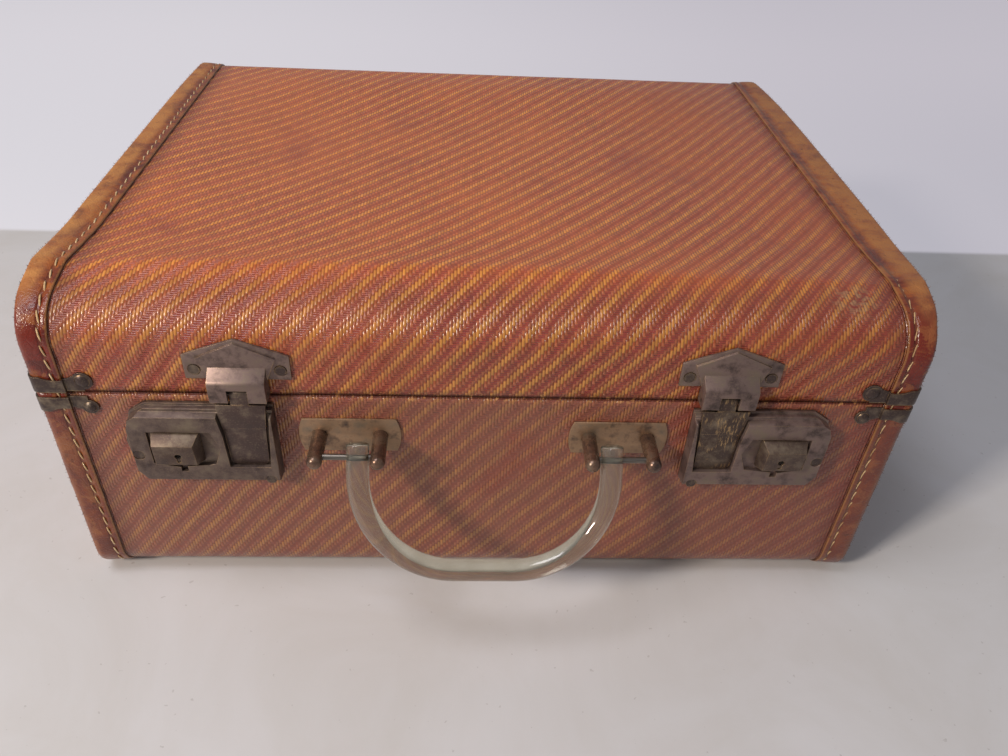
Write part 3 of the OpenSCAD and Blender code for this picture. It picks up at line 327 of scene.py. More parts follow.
    # Old varnish has pooled and darkened
    pooled = patches(tree, place, 0.53, 0.72, 66.7 * MM, 5.0, 0.6, 0.6)
    threads = stained(tree, threads, pooled, 0.42, cloth.varnish)
    # Dark grime beside the leather, with painted shade where the leather stands proud, but not on
    # the ends
    press = HALF_W - BIND_W
    outwards = add(tree, "ShaderNodeMapRange", (sideways, press - 13 * MM, press),
                   interpolation_type="SMOOTHSTEP")
    before_end = add(tree, "ShaderNodeMapRange", (sideways, HALF_W + 17 * MM, HALF_W + 7 * MM),
                     interpolation_type="SMOOTHSTEP")
    beside = add(tree, "ShaderNodeMath", (outwards, before_end), operation="MULTIPLY")
    threads = stained(tree, threads, beside, 0.5, "#5c3029")
    # Painted shade: the cloth gets darker and redder towards the right, where the light falls off
    falloff_to_right = add(tree, "ShaderNodeMapRange", (across, 0.0, 200 * MM),
                    interpolation_type="SMOOTHSTEP")
    uneven = add(tree, "ShaderNodeMath", (clouds, 0.1, 0.3), operation="MULTIPLY_ADD")
    shade_to_right = add(tree, "ShaderNodeMath", (falloff_to_right, uneven), operation="MULTIPLY")
    threads = add(tree, "ShaderNodeMix", {0: shade_to_right, 6: threads, 7: linear("#6e2416")},
                  data_type="RGBA")
    # The rubbed patch on the lid's right shoulder, where varnish and colour are gone
    away = add(tree, "ShaderNodeVectorMath", (place, (168 * MM, 56 * MM, 0.0)),
               operation="DISTANCE")
    shoulder = add(tree, "ShaderNodeMapRange", (away, 16 * MM, 3 * MM),
                   interpolation_type="SMOOTHSTEP")
    torn = patches(tree, place, 0.44, 0.58, 3.85 * MM, 4.0)
    rubbed = add(tree, "ShaderNodeMath", (shoulder, torn), operation="MULTIPLY")
    threads = stained(tree, threads, rubbed, 0.55, "#a58a6c")
    # The turned edge at the seam, drawn darker, with a few pale broken threads under it
    turned = add(tree, "ShaderNodeMapRange", (from_seam, 1.3 * MM, 0.5 * MM),
                 interpolation_type="SMOOTHSTEP")
    threads = stained(tree, threads, turned, 0.8, "#4a2018")
    under_edge = add(tree, "ShaderNodeMapRange", (from_seam, 4 * MM, 1 * MM),
                     interpolation_type="SMOOTHSTEP")
    broken = patches(tree, place, 0.56, 0.66, 3.03 * MM, 3.0)
    fray = add(tree, "ShaderNodeMath", (under_edge, broken), operation="MULTIPLY")
    threads = stained(tree, threads, fray, 0.6, "#c98f55")
    # Matt where faded or rubbed, glossier where varnish has pooled
    faded = add(tree, "ShaderNodeMath", (fade, 0.3, 0.36), operation="MULTIPLY_ADD")
    gloss = add(tree, "ShaderNodeMath", (pooled, -0.12, faded), operation="MULTIPLY_ADD")
    matt = add(tree, "ShaderNodeMath", (rubbed, 0.25, gloss), operation="MULTIPLY_ADD")
    # Relief: round threads that dive at both ends, on an uneven ground
    bowed = add(tree, "ShaderNodeMath", (off_centre, 2.0), operation="POWER")
    round_top = add(tree, "ShaderNodeMath", (bowed, -4.0), operation="MULTIPLY")
    relief = add(tree, "ShaderNodeMath", (luck, 0.5, round_top), operation="MULTIPLY_ADD")
    third = add(tree, "ShaderNodeMath", (thirds,), operation="FRACT")
    to_end = add(tree, "ShaderNodeMath", (away_from(tree, third, 0.5), 2.0), operation="POWER")
    relief = add(tree, "ShaderNodeMath", (to_end, -5.0, relief), operation="MULTIPLY_ADD")
    ground = add(tree, "ShaderNodeTexNoise",
                 {"Vector": place, "Scale": 1 / (9.09 * MM), "Detail": 3.0, "Roughness": 0.55})
    relief = add(tree, "ShaderNodeMath", (ground, 2.4, relief), operation="MULTIPLY_ADD")
    dents = add(tree, "ShaderNodeBump", {"Height": relief, "Strength": 0.9, "Distance": 0.22 * MM})
    bare = add(tree, "ShaderNodeMath", (turned, rubbed), operation="MAXIMUM")
    varnished = add(tree, "ShaderNodeMath", (bare, -0.9, 1.0), operation="MULTIPLY_ADD")
    connect(tree, shader, {"Base Color": threads, "Roughness": matt, "Normal": dents,
                           "Coat Normal": dents, "Coat Weight": varnished})
    return made


def bridle_leather(name):
    """Vegetable-tanned leather, dyed and varnished. The eye sees tan clouds, dark red varnish on
    the faces, a rubbed pale edge, a stitched channel, pores, creases and small nicks."""
    skin = settings()[1]
    made, tree, shader = new_material(name, Coat_Weight=0.3, Coat_Roughness=0.22, IOR=1.4)
    place = add(tree, "ShaderNodeTexCoord").outputs["Object"]
    across, deep, level = add(tree, "ShaderNodeSeparateXYZ", (place,)).outputs
    side = add(tree, "ShaderNodeMath", (across,), operation="ABSOLUTE")
    clouds = add(tree, "ShaderNodeTexNoise",
                 {"Vector": place, "Scale": 1 / (26.3 * MM), "Detail": 8.0, "Roughness": 0.68,
                  "Distortion": 1.2})
    colour = add(tree, "ShaderNodeValToRGB", (clouds,),
                 stops=[(0.37, linear(skin.stain)), (0.45, linear("#7c3a20")),
                        (0.53, linear(skin.tan)), (0.62, linear("#a8672e")),
                        (0.7, linear("#b67c3a"))])
    # Rubbed outer edge, widest on top
    on_top = add(tree, "ShaderNodeMapRange", (level, CASE_H - TOP_R, CASE_H - MM),
                 interpolation_type="SMOOTHSTEP")
    reach = add(tree, "ShaderNodeMath", (on_top, 4 * MM, 3 * MM), operation="MULTIPLY_ADD")
    reached = add(tree, "ShaderNodeMath", (side, reach), operation="ADD")
    outer = add(tree, "ShaderNodeMapRange", (reached, HALF_W - 2 * MM, HALF_W + 3 * MM),
                interpolation_type="SMOOTHSTEP")
    streaks = patches(tree, place, 0.34, 0.62, 12.5 * MM, 5.0, 0.65)
    streaky = add(tree, "ShaderNodeMath", (streaks, 0.6, 0.25), operation="MULTIPLY_ADD")
    worn = add(tree, "ShaderNodeMath", (outer, streaky), operation="MULTIPLY")
    colour = add(tree, "ShaderNodeMix", {0: worn, 6: colour, 7: linear(skin.worn)},
                 data_type="RGBA")
    # Dark red varnish on the front and back faces, deepest near the clips
    from_middle = add(tree, "ShaderNodeMath", (deep,), operation="ABSOLUTE")
    face = add(tree, "ShaderNodeMapRange", (from_middle, HALF_D - 22 * MM, HALF_D - 6 * MM),
               interpolation_type="SMOOTHSTEP")
    near = add(tree, "ShaderNodeMapRange",
               (away_from(tree, level, SEAM + 12 * MM), 42 * MM, 18 * MM),
               interpolation_type="SMOOTHSTEP")
    deepest = add(tree, "ShaderNodeMath", (near, 0.42, 0.58), operation="MULTIPLY_ADD")
    handled = add(tree, "ShaderNodeMath", (face, deepest), operation="MULTIPLY")
    left_on = patches(tree, place, 0.2, 0.46, 23.8 * MM, 4.0)
    handled = add(tree, "ShaderNodeMath", (handled, left_on), operation="MULTIPLY")
    colour = stained(tree, colour, handled, 0.95, "#6c1c12")
    pools = patches(tree, place, 0.51, 0.6, 16.7 * MM, 5.0, 0.6, 0.5)
    pooled = add(tree, "ShaderNodeMath", (pools, handled), operation="MULTIPLY")
    colour = stained(tree, colour, pooled, 0.5, "#36100e")
    flakes = patches(tree, place, 0.54, 0.6, 9.09 * MM, 6.0, 0.68, 0.8)
    flaked = add(tree, "ShaderNodeMath", (flakes, face), operation="MULTIPLY")
    colour = stained(tree, colour, flaked, 0.42, "#b0703c")
    # Painted shade: the right end is darker, where the light falls off; and the tray's leather is
    # duller
    right = add(tree, "ShaderNodeMapRange", (across, 100 * MM, 200 * MM),
                interpolation_type="SMOOTHSTEP")
    colour = stained(tree, colour, right, 0.32, "#5f2015")
    dull = add(tree, "ShaderNodeMapRange", (level, TRAY_TOP + 2 * MM, TRAY_TOP - 14 * MM),
               interpolation_type="SMOOTHSTEP")
    colour = stained(tree, colour, dull, 0.35, "#6b4434")
    # The stitched channel and the shadowed inner edge
    inner = HALF_W - BIND_W
    channel = away_from(tree, side, inner + skin.stitch_in)
    groove = add(tree, "ShaderNodeMapRange", (channel, 1.3 * MM, 0.4 * MM),
                 interpolation_type="SMOOTHSTEP")
    colour = stained(tree, colour, groove, 0.45, "#5d2c18")
    edge = add(tree, "ShaderNodeMapRange", (side, inner + 1.1 * MM, inner + 0.5 * MM),
               interpolation_type="SMOOTHSTEP")
    colour = stained(tree, colour, edge, 0.6, "#96693a")
    under = add(tree, "ShaderNodeMapRange", (side, inner + 0.2 * MM, inner - 0.1 * MM),
                interpolation_type="SMOOTHSTEP")
    colour = stained(tree, colour, under, 0.8, "#3d1c12")
    # Small dark nicks and spots
    nicks = patches(tree, place, 0.66, 0.72, 3.85 * MM, 3.0, 0.6)
    colour = stained(tree, colour, nicks, 0.55, "#3c1c12")
    # Matt where worn, glossier where varnished
    rough = add(tree, "ShaderNodeMath", (worn, 0.3, 0.36), operation="MULTIPLY_ADD")
    matt = add(tree, "ShaderNodeMath", (handled, -0.14, rough), operation="MULTIPLY_ADD")
    # Pores about 0.5 mm apart, drawn a little coarser than real, and creases
    pores = add(tree, "ShaderNodeTexVoronoi", {"Vector": place, "Scale": 1 / (0.91 * MM)})
    cracks = add(tree, "ShaderNodeTexVoronoi", {"Vector": place, "Scale": 1 / (5.88 * MM)},
                 feature="DISTANCE_TO_EDGE")
    creases = add(tree, "ShaderNodeTexNoise",
                  {"Vector": place, "Scale": 1 / (7.14 * MM), "Detail": 7.0, "Roughness": 0.72})
    pitted = add(tree, "ShaderNodeMath", (pores, 0.5), operation="MULTIPLY")
    height = add(tree, "ShaderNodeMath", (creases, 1.3, pitted), operation="MULTIPLY_ADD")
    whole = add(tree, "ShaderNodeMapRange", (cracks, 0.0, 0.09), interpolation_type="SMOOTHSTEP")
    height = add(tree, "ShaderNodeMath", (whole, 0.35, height), operation="MULTIPLY_ADD")
    height = add(tree, "ShaderNodeMath", (groove, -1.2, height), operation="MULTIPLY_ADD")
    dents = add(tree, "ShaderNodeBump", {"Height": height, "Strength": 0.7, "Distance": 0.28 * MM})
    connect(tree, shader, {"Base Color": colour, "Roughness": matt, "Normal": dents,
                           "Coat Normal": dents})
    return made


def old_brass(name, skin_colour, rough=0.42, bare=0.5, scratches=False, seam=False):
    """Pressed brass sheet, plated long ago and tarnished. The eye sees a cloudy grey-brown skin
    with fine speckles, and bare metal on its rubbed edges."""
    metal = settings()[2]
    made, tree, shader = new_material(name)
    place = add(tree, "ShaderNodeTexCoord").outputs["Object"]
    clouds = add(tree, "ShaderNodeTexNoise",
                 {"Vector": place, "Scale": 1 / (8.33 * MM), "Detail": 6.0, "Roughness": 0.65})
    colour = add(tree, "ShaderNodeValToRGB", (clouds,),
                 stops=[(0.3, linear(metal.dark)), (0.5, linear(skin_colour)),
                        (0.72, linear("#7d6f5f"))])
    speckle = patches(tree, place, 0.55, 0.7, 0.714 * MM, 2.0)
    colour = stained(tree, colour, speckle, 0.3, "#8c7c62")
    # Bare edges: where a rounded normal leaves the flat one
    soft = add(tree, "ShaderNodeBevel", {"Radius": 0.7 * MM}, samples=4)
    flat = add(tree, "ShaderNodeNewGeometry").outputs["Normal"]
    agree = add(tree, "ShaderNodeVectorMath", (soft, flat), operation="DOT_PRODUCT")
    edge = add(tree, "ShaderNodeMapRange", (agree, 0.985, 0.86), interpolation_type="SMOOTHSTEP")
    rubs = patches(tree, place, 0.36, 0.6, 3.33 * MM, 4.0)
    worn = add(tree, "ShaderNodeMath", (edge, rubs), operation="MULTIPLY")
    worn = add(tree, "ShaderNodeMath", (worn, bare), operation="MULTIPLY")
    if scratches:
        # Fine gold scratches on the rubbed hasp, 1 mm apart and 6 mm long, on a slant
        tilt = add(tree, "ShaderNodeMapping",
                   {"Vector": place, "Rotation": (0.0, 0.9, 0.0),
                    "Scale": [1 / (size * MM) for size in (1.11, 3.33, 6.25)]}).outputs[0]
        lines = patches(tree, tilt, 0.51, 0.6, 1.0, 5.0, 0.7)
        groups = patches(tree, place, 0.42, 0.6, 11.1 * MM, 3.0)
        lines = add(tree, "ShaderNodeMath", (lines, groups), operation="MULTIPLY")
        lines = add(tree, "ShaderNodeMath", (lines, 0.8), operation="MULTIPLY")
        worn = add(tree, "ShaderNodeMath", (worn, lines), operation="MAXIMUM")
    if seam:
        # The edges that rub where the halves meet
        height = add(tree, "ShaderNodeSeparateXYZ", (place,)).outputs[2]
        rubbed = add(tree, "ShaderNodeMapRange",
                     (away_from(tree, height, TRAY_TOP), 1.6 * MM, 0.8 * MM),
                     interpolation_type="SMOOTHSTEP")
        rubbed = add(tree, "ShaderNodeMath", (rubbed, 0.8), operation="MULTIPLY")
        worn = add(tree, "ShaderNodeMath", (worn, rubbed), operation="MAXIMUM")
    colour = add(tree, "ShaderNodeMix", {0: worn, 6: colour, 7: linear(metal.bright)},
                 data_type="RGBA")
    shine = add(tree, "ShaderNodeMath", (worn, 0.35, 0.62), operation="MULTIPLY_ADD")
    dull = add(tree, "ShaderNodeMath", (clouds, 0.22, rough - 0.1), operation="MULTIPLY_ADD")
    matt = add(tree, "ShaderNodeMath", (worn, -0.12, dull), operation="MULTIPLY_ADD")
    pits = add(tree, "ShaderNodeTexNoise",
               {"Vector": place, "Scale": 1 / (2 * MM), "Detail": 5.0, "Roughness": 0.7})
    height = add(tree, "ShaderNodeMath", (speckle, 0.4, pits), operation="MULTIPLY_ADD")
    dents = add(tree, "ShaderNodeBump", {"Height": height, "Strength": 0.25, "Distance": 0.08 * MM})
    connect(tree, shader, {"Base Color": colour, "Metallic": shine, "Roughness": matt,
                           "Normal": dents, "Coat Normal": dents})
    return made


def bare_steel(name):
    """Drawn steel wire and strip, dulled, with lines along the drawing direction."""
    made, tree, shader = new_material(name, Metallic=0.9)
    place = add(tree, "ShaderNodeTexCoord").outputs["Object"]
    # Lines 12.5 mm long and 0.7 mm wide, a little coarser than real, so that they show
    drawn = add(tree, "ShaderNodeMapping",
                {"Vector": place,
                 "Scale": [1 / (size * MM) for size in (12.5, 0.667, 0.667)]}).outputs[0]
    lines = add(tree, "ShaderNodeTexNoise",
                {"Vector": drawn, "Scale": 1.0, "Detail": 4.0, "Roughness": 0.55})
    colour = add(tree, "ShaderNodeValToRGB", (lines,),
                 stops=[(0.3, linear("#56504b")), (0.7, linear("#8d867d"))])
    rust = patches(tree, place, 0.56, 0.7, 4.76 * MM, 5.0)
    colour = stained(tree, colour, rust, 0.5, "#6a4a35")
    matt = add(tree, "ShaderNodeMath", (lines, 0.25, 0.25), operation="MULTIPLY_ADD")
    dents = add(tree, "ShaderNodeBump", {"Height": lines, "Strength": 0.15, "Distance": 0.05 * MM})
    connect(tree, shader, {"Base Color": colour, "Roughness": matt, "Normal": dents,
                           "Coat Normal": dents})
    return made


def clear_acrylic(name):
    """Bent acrylic rod, clear with a slight yellow-green cast, hazed by fine crazing inside."""
    made, tree, shader = new_material(name, Transmission_Weight=0.93, IOR=1.49, Coat_Weight=0.5,
                                      Coat_Roughness=0.04)
    place = add(tree, "ShaderNodeTexCoord").outputs["Object"]
    haze = add(tree, "ShaderNodeTexNoise",
               {"Vector": place, "Scale": 1 / (8.33 * MM), "Detail": 5.0, "Roughness": 0.55})
    colour = add(tree, "ShaderNodeValToRGB", (haze,),
                 stops=[(0.3, linear("#cfcdbc")), (0.7, linear("#e4e2d2"))])
    matt = add(tree, "ShaderNodeMath", (haze, 0.1, 0.03), operation="MULTIPLY_ADD")
    connect(tree, shader, {"Base Color": colour, "Roughness": matt})
    return made


def waxed_thread(name):
    """Waxed linen sewing thread, two strands twisted, grey with age."""
    made, tree, shader = new_material(name, Roughness=0.75, Sheen_Weight=0.2)
    place = add(tree, "ShaderNodeTexCoord").outputs["Object"]
    # The strands come round every 2.42 mm; the node counts ten radians to its unit
    twist = add(tree, "ShaderNodeTexWave",
                {"Vector": place, "Scale": math.tau / (10 * 2.42 * MM), "Distortion": 1.5},
                bands_direction="DIAGONAL").outputs[1]
    clouds = add(tree, "ShaderNodeTexNoise",
                 {"Vector": place, "Scale": 1 / (16.7 * MM), "Detail": 5.0, "Roughness": 0.55})
    colour = add(tree, "ShaderNodeValToRGB", (clouds,),
                 stops=[(0.3, linear("#9b7347")), (0.5, linear(settings()[1].thread)),
                        (0.75, linear("#e3c79b"))])
    colour = stained(tree, colour, twist, 0.25, "#8a633c")
    dents = add(tree, "ShaderNodeBump", {"Height": twist, "Strength": 0.4, "Distance": 0.1 * MM})
    connect(tree, shader, {"Base Color": colour, "Normal": dents, "Coat Normal": dents})
    return made


def loose_fibre(name, light, dark):
    """Broken fibres: matt, some pale and some dark with old varnish."""
    made, tree, shader = new_material(name, Roughness=0.85)
    place = add(tree, "ShaderNodeTexCoord").outputs["Object"]
    luck = add(tree, "ShaderNodeTexNoise",
               {"Vector": place, "Scale": 1 / (1.43 * MM), "Detail": 1.0, "Roughness": 0.55})
    colour = add(tree, "ShaderNodeValToRGB", (luck,),
                 stops=[(0.4, linear(dark)), (0.62, linear(light))])
    connect(tree, shader, {"Base Color": colour})
    return made


def lining_paper(name):
    """Matt lining paper, cream and foxed, with a faint woven print."""
    made, tree, shader = new_material(name, Roughness=0.85)
    place = add(tree, "ShaderNodeTexCoord").outputs["Object"]
    foxing = add(tree, "ShaderNodeTexNoise",
                 {"Vector": place, "Scale": 1 / (45.5 * MM), "Detail": 6.0, "Roughness": 0.65})
    colour = add(tree, "ShaderNodeValToRGB", (foxing,),
                 stops=[(0.3, linear("#bfa67c")), (0.5, linear("#cbb68e")),
                        (0.7, linear("#d5c39d"))])
    # Printed threads 1 mm apart: the node's bricks are a quarter of its unit high
    weave = add(tree, "ShaderNodeTexBrick",
                {"Vector": place, "Scale": 1 / (3.85 * MM), "Color1": grey(1.0),
                 "Color2": grey(0.92), "Mortar": grey(0.82), "Mortar Size": 0.03}).outputs[0]
    colour = add(tree, "ShaderNodeMix", {0: 0.8, 6: colour, 7: weave}, data_type="RGBA",
                 blend_type="MULTIPLY")
    spots = patches(tree, place, 0.68, 0.76, 7.14 * MM, 3.0)
    colour = stained(tree, colour, spots, 0.35, "#8d6d48")
    fibres = add(tree, "ShaderNodeTexNoise",
                 {"Vector": place, "Scale": 1 / (1.11 * MM), "Detail": 4.0, "Roughness": 0.55})
    dents = add(tree, "ShaderNodeBump", {"Height": fibres, "Strength": 0.3, "Distance": 0.06 * MM})
    connect(tree, shader, {"Base Color": colour, "Normal": dents, "Coat Normal": dents})
    return made


def fibre_board(name):
    """Pressed fibre board, seen only on its cut edges: short brown fibres in layers."""
    made, tree, shader = new_material(name, Roughness=0.9)
    place = add(tree, "ShaderNodeTexCoord").outputs["Object"]
    fibres = add(tree, "ShaderNodeTexNoise",
                 {"Vector": place, "Scale": 1 / (1.43 * MM), "Detail": 6.0, "Roughness": 0.7})
    colour = add(tree, "ShaderNodeValToRGB", (fibres,),
                 stops=[(0.3, linear("#6f5233")), (0.6, linear("#a58457")),
                        (0.8, linear("#bf9f70"))])
    dents = add(tree, "ShaderNodeBump", {"Height": fibres, "Strength": 0.5, "Distance": 0.15 * MM})
    connect(tree, shader, {"Base Color": colour, "Normal": dents, "Coat Normal": dents})
    return made


def painted_table(name):
    """Painted table top, pale and matt, with faint clouds and specks. Behind the case it turns
    into a wall that also shows its own colour to the eye, as an evenly lit wall does, with painted
    shade towards the right."""
    stage = settings()[3]
    made, tree, shader = new_material(name, Roughness=0.7)
    place = add(tree, "ShaderNodeTexCoord").outputs["Object"]
    parts = add(tree, "ShaderNodeSeparateXYZ", (place,)).outputs
    width, depth = parts[0], parts[1]
    grain = add(tree, "ShaderNodeTexNoise",
                {"Vector": place, "Scale": 1 / (111 * MM), "Detail": 8.0, "Roughness": 0.6,
                 "Distortion": 0.8})
    clouds = add(tree, "ShaderNodeMapRange", (grain, 0.2, 0.8), interpolation_type="SMOOTHSTEP")
    top = add(tree, "ShaderNodeMix", {0: clouds, 6: linear("#cbc8c6"), 7: linear(stage.table)},
              data_type="RGBA")
    specks = patches(tree, place, 0.7, 0.74, 3.85 * MM, 2.0)
    top = stained(tree, top, specks, 0.3, "#8f8782")
    # Painted shade: the wall darkens towards the right, where the light falls off
    falloff_to_right = add(tree, "ShaderNodeMapRange", (width, -0.5, 0.7), interpolation_type="SMOOTHSTEP")
    wall = add(tree, "ShaderNodeMix", {0: falloff_to_right, 6: linear(stage.wall), 7: linear("#d8d5de")},
               data_type="RGBA")
    on_wall = add(tree, "ShaderNodeMapRange", (depth, *WALL_STARTS),
                  interpolation_type="SMOOTHSTEP")
    colour = add(tree, "ShaderNodeMix", {0: on_wall, 6: top, 7: wall}, data_type="RGBA")
    seen = eye_rays(tree, add(tree, "ShaderNodeLightPath").outputs)
    farther = add(tree, "ShaderNodeMapRange", (depth, 0.25, 0.9), interpolation_type="SMOOTHSTEP")
    bloom = add(tree, "ShaderNodeMix", {0: farther, 6: linear("#c9c6d2"), 7: linear("#eae2ec")},
                data_type="RGBA")
    lit = add(tree, "ShaderNodeMix", {0: 0.5, 6: wall, 7: bloom}, data_type="RGBA")
    glow = add(tree, "ShaderNodeEmission", {"Color": lit})
    strong = add(tree, "ShaderNodeMath", (seen, 0.55), operation="MULTIPLY")
    share = add(tree, "ShaderNodeMath", (strong, on_wall), operation="MULTIPLY")
    both = add(tree, "ShaderNodeMixShader", (share, shader, glow))
    connect(tree, shader, {"Base Color": colour})
    connect(tree, tree.nodes["Material Output"], (both,))
    return made


def room_light(strength):
    """A pale room: it lights the case evenly, and the eye sees a quiet grey in its place."""
    world = bpy.data.worlds.new("Room")
    world.use_nodes = True
    tree = world.node_tree
    tree.nodes.clear()
    rays = add(tree, "ShaderNodeLightPath").outputs
    seen = eye_rays(tree, rays)
    room = add(tree, "ShaderNodeBackground", {"Color": linear("#eceef6"), "Strength": strength})
    pale = add(tree, "ShaderNodeMath", (rays["Is Camera Ray"], 0.45, 0.42),
               operation="MULTIPLY_ADD")
    view = add(tree, "ShaderNodeBackground", {"Color": linear("#dddde2"), "Strength": pale})
    mixed = add(tree, "ShaderNodeMixShader", (seen, room, view))
    add(tree, "ShaderNodeOutputWorld", (mixed,))
    return world


# Meshes

def linked(name, data):
    """A new object in the scene that shows a mesh, curve, lamp or camera."""
    made = bpy.data.objects.new(name, data)
    bpy.context.scene.collection.objects.link(made)
    return made


def bare_object(name, vertices, faces):
    """An object of plain faces without a material."""
    mesh = bpy.data.meshes.new(name)
    mesh.from_pydata(vertices, [], faces)
    return linked(name, mesh)


def new_object(name, vertices, faces, material):
    """An object of smooth faces with its material."""
    made = bare_object(name, vertices, faces)
    mesh = made.data
    mesh.validate()
    mesh.materials.append(material)
    mesh.polygons.foreach_set("use_smooth", [True] * len(mesh.polygons))
    return made


def plain_mesh(source, name):
    """The evaluated shape of an object as a new mesh object; the source goes."""
    graph = bpy.context.evaluated_depsgraph_get()
    mesh = bpy.data.meshes.new_from_object(source.evaluated_get(graph), depsgraph=graph)
    mesh.name = name
    made = linked(name, mesh)
    bpy.data.objects.remove(source)
    made.name = name
    return made


def face_outwards(made):
    """Turns every face of a closed mesh outwards."""
    work = bmesh.new()
    work.from_mesh(made.data)
    bmesh.ops.recalc_face_normals(work, faces=work.faces)
    work.to_mesh(made.data)
    work.free()


def soft_step(value, low, high):
    """A share that eases from 0 at the low value to 1 at the high one."""
    k = min(1.0, max(0.0, (value - low) / (high - low)))
    return k * k * (3 - 2 * k)


def between(table, value):
    """The height in mm at a place in mm, from a table of (place, height)."""
    for (a, low), (b, high) in zip(table, table[1:]):
        if a <= value < b:
            return low + (high - low) * (value - a) / (b - a)
    return 0.0


def roll(x, y):
    """Height of the swollen, creased roll behind the lid's front edge; lower at the ends."""
    high = between([(-157, 0.0), (-153, 0.4), (-149.5, 1.4), (-145, 2.9), (-140, 4.7),
                    (-137.5, 5.6), (-136, 5.95), (-134, 5.8), (-130, 5.1), (-124, 4.0),
                    (-114, 2.4), (-104, 1.0), (-96, 0.2), (-90, 0.0)], y / MM)
    share = between([(-999, 0.6), (-184, 0.6), (-150, 1.0), (-60, 1.05), (0, 1.0), (60, 0.85),
                     (100, 0.7), (165, 0.6), (190, 0.4), (999, 0.4)], x / MM)
    return MM * high * share


def sag(x, y):
    """Height, negative, of the lid's top where it has sunk between the ends."""
    deep = between([(-100, 0.0), (-94, -0.2), (-84, -0.9), (-74, -1.6), (-54, -2.7), (-34, -3.6),
                    (-14, -4.2), (6, -4.6), (35, -4.6), (55, -4.2), (75, -3.5), (95, -2.2),
                    (115, -0.8), (130, 0.0)], y / MM)
    return MM * deep * soft_step(-abs(x), -0.184, -0.114)


def outline(inset, radius, edge_z, lid, stride=4 * MM, x=0.0):
    """Points (y, z), outward normals and unrolled lengths of one half's section, from the
    front edge at the seam round to the back edge, for one place across. The length is signed: up
    the lid, down the tray."""
    half = HALF_D - inset
    corner = radius - inset
    far_z = CASE_H - inset if lid else inset
    turn = 1 if lid else -1
    places = []
    z_turn = far_z - turn * corner
    rise = abs(z_turn - edge_z)
    count = max(2, round(rise / stride))
    for i in range(count):
        places.append(((-half, edge_z + turn * rise * i / count), (-1.0, 0.0)))
    bend = 12
    for i in range(bend + 1):
        a = math.pi / 2 * i / bend
        ny, nz = -math.cos(a), turn * math.sin(a)
        places.append(((-half + corner + corner * ny, z_turn + corner * nz), (ny, nz)))
    flat = 2 * (half - corner)
    count = max(2, round(flat / stride))
    for i in range(1, count):
        places.append(((-half + corner + flat * i / count, far_z), (0.0, float(turn))))
    # The back is the front's mirror image
    front = places[:len(places) - count + 1]
    places += [((-y, z), (-ny, nz)) for (y, z), (ny, nz) in reversed(front)]
    if lid:
        places = [((y, z + roll(x, y) if nz > 0.01 else z), (ny, nz))
                  for (y, z), (ny, nz) in places]
    lengths = [0.0]
    for (a, _), (b, _) in zip(places, places[1:]):
        lengths.append(lengths[-1] + math.hypot(b[0] - a[0], b[1] - a[1]))
    return [(p, n, turn * s) for (p, n), s in zip(places, lengths)]


def give_map(made, values):
    """Stores one (across, along) pair a vertex as the mesh's own map."""
    layer = made.data.uv_layers.new(name="unrolled")
    for loop in made.data.loops:
        layer.data[loop.index].uv = values[loop.vertex_index]


def close_rim(faces, rim, below):
    """Joins two layers along their rim, given how much later the lower one's vertices come."""
    for a, b in zip(rim, rim[1:] + rim[:1]):
        faces.append((a, b, below + b, below + a))


def cloth_wrap(name, radius, edge_z, lid, material):
    """The cloth round front, bottom or top, and back, with the lines pressed by the leather."""
    press = HALF_W - BIND_W
    end = CLOTH_X - CLOTH_T
    # Columns of vertices: both ends, the lines beside the leather, and an even grid between
    lines = [press, press - 0.15 * MM, press - 0.45 * MM, press - 0.6 * MM]
    grid = [i * 0.0094 for i in range(-20, 21)]
    xs = sorted({-end, end, *lines, *(-v for v in lines), *grid})
    path = outline(LEATHER_T, radius, edge_z, lid)
    outer, inner, maps, faces = [], [], [], []
    for (y, z), (ny, nz), s in path:
        for x in xs:
            sunk = 0.3 * MM if press - 0.5 * MM < abs(x) < press - 0.1 * MM else 0.0
            # The cloth lies on old board, which is a little uneven
            wave = 0.12 * MM * noise.noise(Vector((x * 18, y * 18, z * 18)))
            off = min(0.0, wave - 0.06 * MM) if abs(x) < press - MM else 0.0
            low = sag(x, y) + roll(x, y) - roll(0.0, y) if lid and nz > 0.01 else 0.0
            outer.append((x, y + (off - sunk) * ny, z + low + (off - sunk) * nz))
            inner.append((x, y - CLOTH_T * ny, z + low - CLOTH_T * nz))
            maps.append((x, s))
    wide, long = len(xs), len(path)
    below = wide * long
    for j in range(long - 1):
        for i in range(wide - 1):
            a = j * wide + i
            faces.append((a, a + 1, a + wide + 1, a + wide))
            faces.append((below + a, below + a + wide, below + a + wide + 1, below + a + 1))
    rim = list(range(wide)) + [j * wide + wide - 1 for j in range(1, long)]
    rim += [(long - 1) * wide + i for i in range(wide - 2, -1, -1)]
    rim += [j * wide for j in range(long - 2, 0, -1)]
    close_rim(faces, rim, below)
    made = new_object(name, outer + inner, faces, material)
    give_map(made, maps + maps)
    face_outwards(made)
    return made


def bulge(y, z, side):
    """How far the soft ends stand out beyond their frame: most on top, the right one more so."""
    deep = max(0.0, 1 - (y / (HALF_D - 8 * MM)) ** 4)
    if side < 0:
        top = 2.8 * MM * soft_step(z, TRAY_TOP + 12 * MM, CASE_H)
    else:
        top = 7.4 * MM * soft_step(z, CASE_H - 14 * MM, CASE_H + MM)
    foot = 1.2 * MM * soft_step(-z, 14 * MM - TRAY_TOP, 54 * MM - TRAY_TOP) * (1 - z / TRAY_TOP)
    return deep * top + foot


